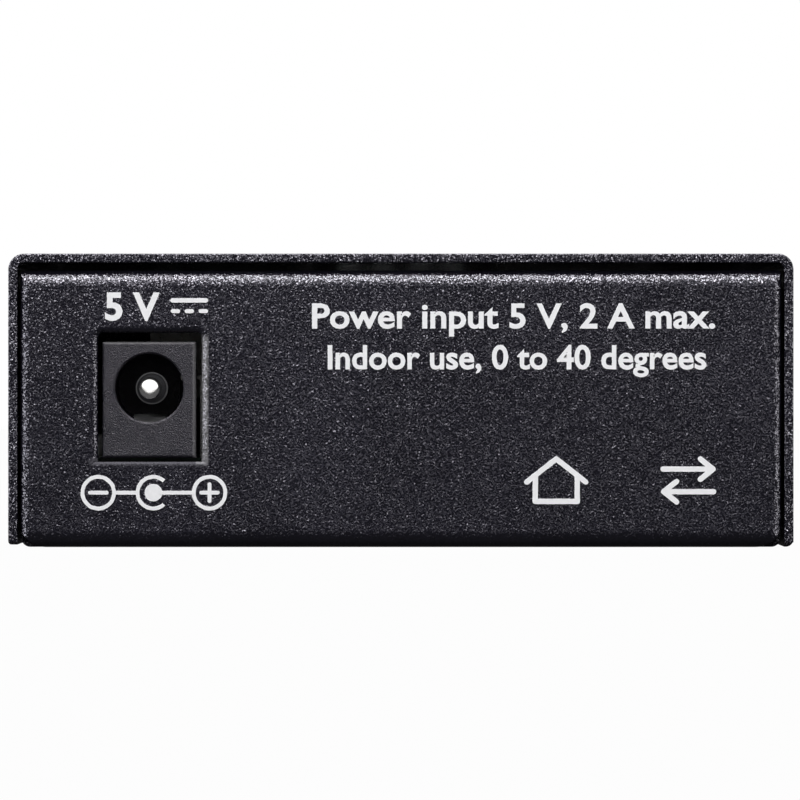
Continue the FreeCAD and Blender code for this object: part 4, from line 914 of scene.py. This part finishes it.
polarity.stroke([(PLUG_X + 0.7, LINE_Z), (PLUS_X - RING_R, LINE_Z)], PEN)
polarity.finish()

# %% [markdown]
# ## Plain wording
# Two lines of plain wording fill the middle of the panel. They state only what any such box
# states: what power it takes and how warm a room it may stand in.

# %% Two lines of plain words
wording = Sheet("print_wording", -1, PANEL_REAR)
wording.letters("Power input 5 V, 2 A max.", -8.26, 29.2, 20.4, 2.2, 0.022)
wording.letters("Indoor use, 0 to 40 degrees", -6.8, 28.4, 16.6, 2.13, 0.022)
wording.finish()

# %% [markdown]
# ## Two pictograms
# A small house means indoor use, and two opposite arrows mean that data goes both ways. Both are
# plain drawing-office signs, drawn with one pen.

# %% House and arrows
ICON_PEN = 0.5
HOUSE_X, ARROWS_X, ICON_Z = 14.44, 26.72, 3.97
EAVES, WALL, RIDGE_Z, EAVES_Z, WALL_TOP, WALL_FOOT = 2.75, 1.95, 4.25, 2.1, 2.6, 0.3
icons = Sheet("print_pictograms", -1, PANEL_REAR)
roof = ((-EAVES, EAVES_Z), (0, RIDGE_Z), (EAVES, EAVES_Z))
walls = ((-WALL, WALL_TOP), (-WALL, WALL_FOOT), (WALL, WALL_FOOT), (WALL, WALL_TOP))
for line in (roof, walls):
    icons.stroke([(HOUSE_X + x, ICON_Z + z) for x, z in line], ICON_PEN)
for sign, up in ((1, 3.3), (-1, 1.2)):
    row_z = ICON_Z + up
    icons.stroke([(ARROWS_X - sign * 2.35, row_z), (ARROWS_X + sign * 2.2, row_z)], ICON_PEN)
    icons.stroke([(ARROWS_X + sign * 1.1, row_z + 0.95), (ARROWS_X + sign * 2.3, row_z),
                  (ARROWS_X + sign * 1.1, row_z - 0.95)], ICON_PEN)
icons.finish()

# %% [markdown]
# ## Marks on the port face
# Beside the switch block a maker prints the number of each knob and the way it is switched on.
# The face is seen from behind, so left and right swap; the sheet takes care of that.

# %% Numbers one to four, and ON with an arrow
KNOB_STEP = 2.54
marks = Sheet("print_switch", 1, PANEL_FRONT)
for number in range(4):
    x = -(1.5 - number) * KNOB_STEP
    half = 0.22 if number == 0 else 0.42
    marks.letters(str(number + 1), x - half, x + half, 8.2, 1.25, 0.02)
marks.letters("ON", -1.9, 0.5, 16.1, 1.35, 0.02)
marks.stroke([(1.5, 16.2), (1.5, 17.35)], 0.24)
marks.stroke([(1.05, 16.9), (1.5, 17.4), (1.95, 16.9)], 0.24)
marks.finish()

# %% [markdown]
# ## Studio
# The object stands on a plain pale floor in a plain room. The camera sees both as pure white, and
# so does light that comes through clear plastic. What the coating and the metals mirror is dimmer:
# in a fully white room a black box turns grey, so mirrors get a small share of that white. No lamp
# is aimed at the background, and the floor keeps the shadow of the box.

# %% Floor and room
MIRRORED = 0.03
SHADED = 0.02
FILL = 0.022
FLOOR_Z = -0.0001
FLOOR_HALF = 3.0


def white_share(s, kept):
    """How much of the white background a ray sees; kept is the share left to true shading."""
    path = s.add("ShaderNodeLightPath", {})
    direct = path.out("Is Camera Ray") + path.out("Is Transmission Ray")
    mirrored = path.out("Is Glossy Ray") * MIRRORED
    return (direct.math("MINIMUM", 1.0) * (1 - kept) + mirrored).clamp(0, 1)


def floor_finish():
    s = Shader("floor_white")
    true_tone = s.add("ShaderNodeBsdfDiffuse", {}, Color=(0.02, 0.02, 0.021, 1))
    glow = s.add("ShaderNodeEmission", {}, Color=(1, 1, 1, 1), Strength=1.0)
    return s.surface(s.add("ShaderNodeMixShader", {}, white_share(s, SHADED), true_tone, glow))


def room_finish():
    s = Shader("room", world=True)
    fill = s.add("ShaderNodeBackground", {}, Color=(0.9, 0.92, 1.0, 1), Strength=FILL)
    white = s.add("ShaderNodeBackground", {}, Color=(1, 1, 1, 1), Strength=1.0)
    return s.surface(s.add("ShaderNodeMixShader", {}, white_share(s, 0.0), fill, white))


def flat_square(name, half, z):
    data = bpy.data.meshes.new(name)
    corners = [(-half, -half, z), (half, -half, z), (half, half, z), (-half, half, z)]
    data.from_pydata(corners, [], [(0, 1, 2, 3)])
    return in_scene(name, data)


floor = flat_square("floor", FLOOR_HALF, FLOOR_Z)
dress(floor, floor_finish())
bpy.context.scene.world = room_finish()
print("floor and room ready")

# %% [markdown]
# ## Lamps
# Each lamp has one job. The top one draws the long line on the upper fold, the two near ones wake
# the grain, the side ones draw the uprights and the front one fills the tip of the pin. Two more
# behind the box light the port face. In a studio black cards keep a lamp off what it would spoil.
# Light linking does the same here: the strong lamps pass by the parts deep in the box, and big
# weak ones take over on the cover's own walls.

# %% Lamps and their black cards
TARGET = (0.0, -0.04, 0.014)


def softbox(name, place, size, radiance, colour=(1, 1, 1), shape="RECTANGLE"):
    """Flat lamp aimed at the panel, whose strength is given as the brightness of its face."""
    data = bpy.data.lights.new(name, "AREA")
    data.shape = shape
    data.size, data.size_y = size
    data.energy = radiance * math.pi * size[0] * size[1]
    data.color = colour
    obj = in_scene(name, data)
    obj.location = place
    obj.rotation_euler = (Vector(TARGET) - Vector(place)).to_track_quat("-Z", "Y").to_euler()
    return obj


def card(lamp, names, state="EXCLUDE"):
    """Keep a lamp off some pieces, or on them alone, as a card with or without a hole would."""
    group = bpy.data.collections.new(lamp.name + "_pieces")
    for name in names:
        group.objects.link(NODES.get(name) or bpy.data.objects[name])
    for member in group.collection_objects:
        member.light_linking.link_state = state
    lamp.light_linking.receiver_collection = group


# %% Light on the box from every side
INNER = ("rj45_shield", "rj45_housing", "circuit_board", "lan_transformer", "sfp_cage",
         "dc_jack_switch_contact", "input_capacitor", "input_fuse", "sfp_connector_housing")
PIN_PIECES = ("dc_jack_centre_pin", "pin_tip", "pin_collar")
PRINTS = ("print_voltage", "print_polarity", "print_wording", "print_pictograms")
PASSED_BY = INNER + PIN_PIECES + ("top_cover",) + PRINTS
WHITE = (1, 1, 1)
for name, place, size, radiance, colour in (
        ("lamp_near_left", (-0.065, -0.15, 0.11), (0.06, 0.03), 26.0, WHITE),
        ("lamp_near_right", (0.075, -0.16, 0.09), (0.04, 0.03), 11.0, WHITE),
        ("lamp_left", (-0.60, -0.20, 0.06), (0.6, 0.25), 14.0, (0.95, 0.96, 1.0)),
        ("lamp_right", (0.60, -0.20, 0.06), (0.5, 0.25), 12.0, WHITE)):
    card(softbox(name, place, size, radiance, colour), PASSED_BY)
top = softbox("lamp_top", (-0.06, -0.20, 0.72), (0.7, 0.24), 38.0)
card(top, INNER + PIN_PIECES)
front = softbox("lamp_front", (0.0, -0.95, 0.13), (0.5, 0.26), 1.35, shape="ELLIPSE")
card(front, INNER)
for name, x in (("lamp_wall_left", -0.7), ("lamp_wall_right", 0.7)):
    wall = softbox(name, (x, 0.0, 0.28), (0.9, 0.5), 1.7)
    card(wall, ("top_cover", "cover_rim_coat"), "INCLUDE")
softbox("lamp_back", (0.10, 0.45, 0.62), (0.5, 0.3), 6.0)
rear = softbox("lamp_rear", (-0.35, 0.75, 0.22), (0.5, 0.35), 5.0)
card(rear, ("top_cover",))
print(len(bpy.data.lights), "lamps")

# %% [markdown]
# ## Camera
# The camera stands square-on, about three quarters of a metre away, with a long lens. It is level
# with the middle of the box, so the walls show almost no depth.

# %% Camera
DISTANCE = 0.75
FIELD = 0.07437
EYE_X, EYE_Z = -0.00008, 0.01369
camera = bpy.data.cameras.new("camera")
camera.sensor_width = 36.0
camera.lens = camera.sensor_width * DISTANCE / FIELD
camera.clip_end = 20.0
eye = in_scene("camera", camera)
eye.location = (EYE_X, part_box("top_cover")[0].y - DISTANCE, EYE_Z)
eye.rotation_euler = (math.pi / 2, 0, 0)
bpy.context.scene.camera = eye
bpy.context.scene.view_settings.view_transform = "Standard"
print("lens", round(camera.lens), "mm")
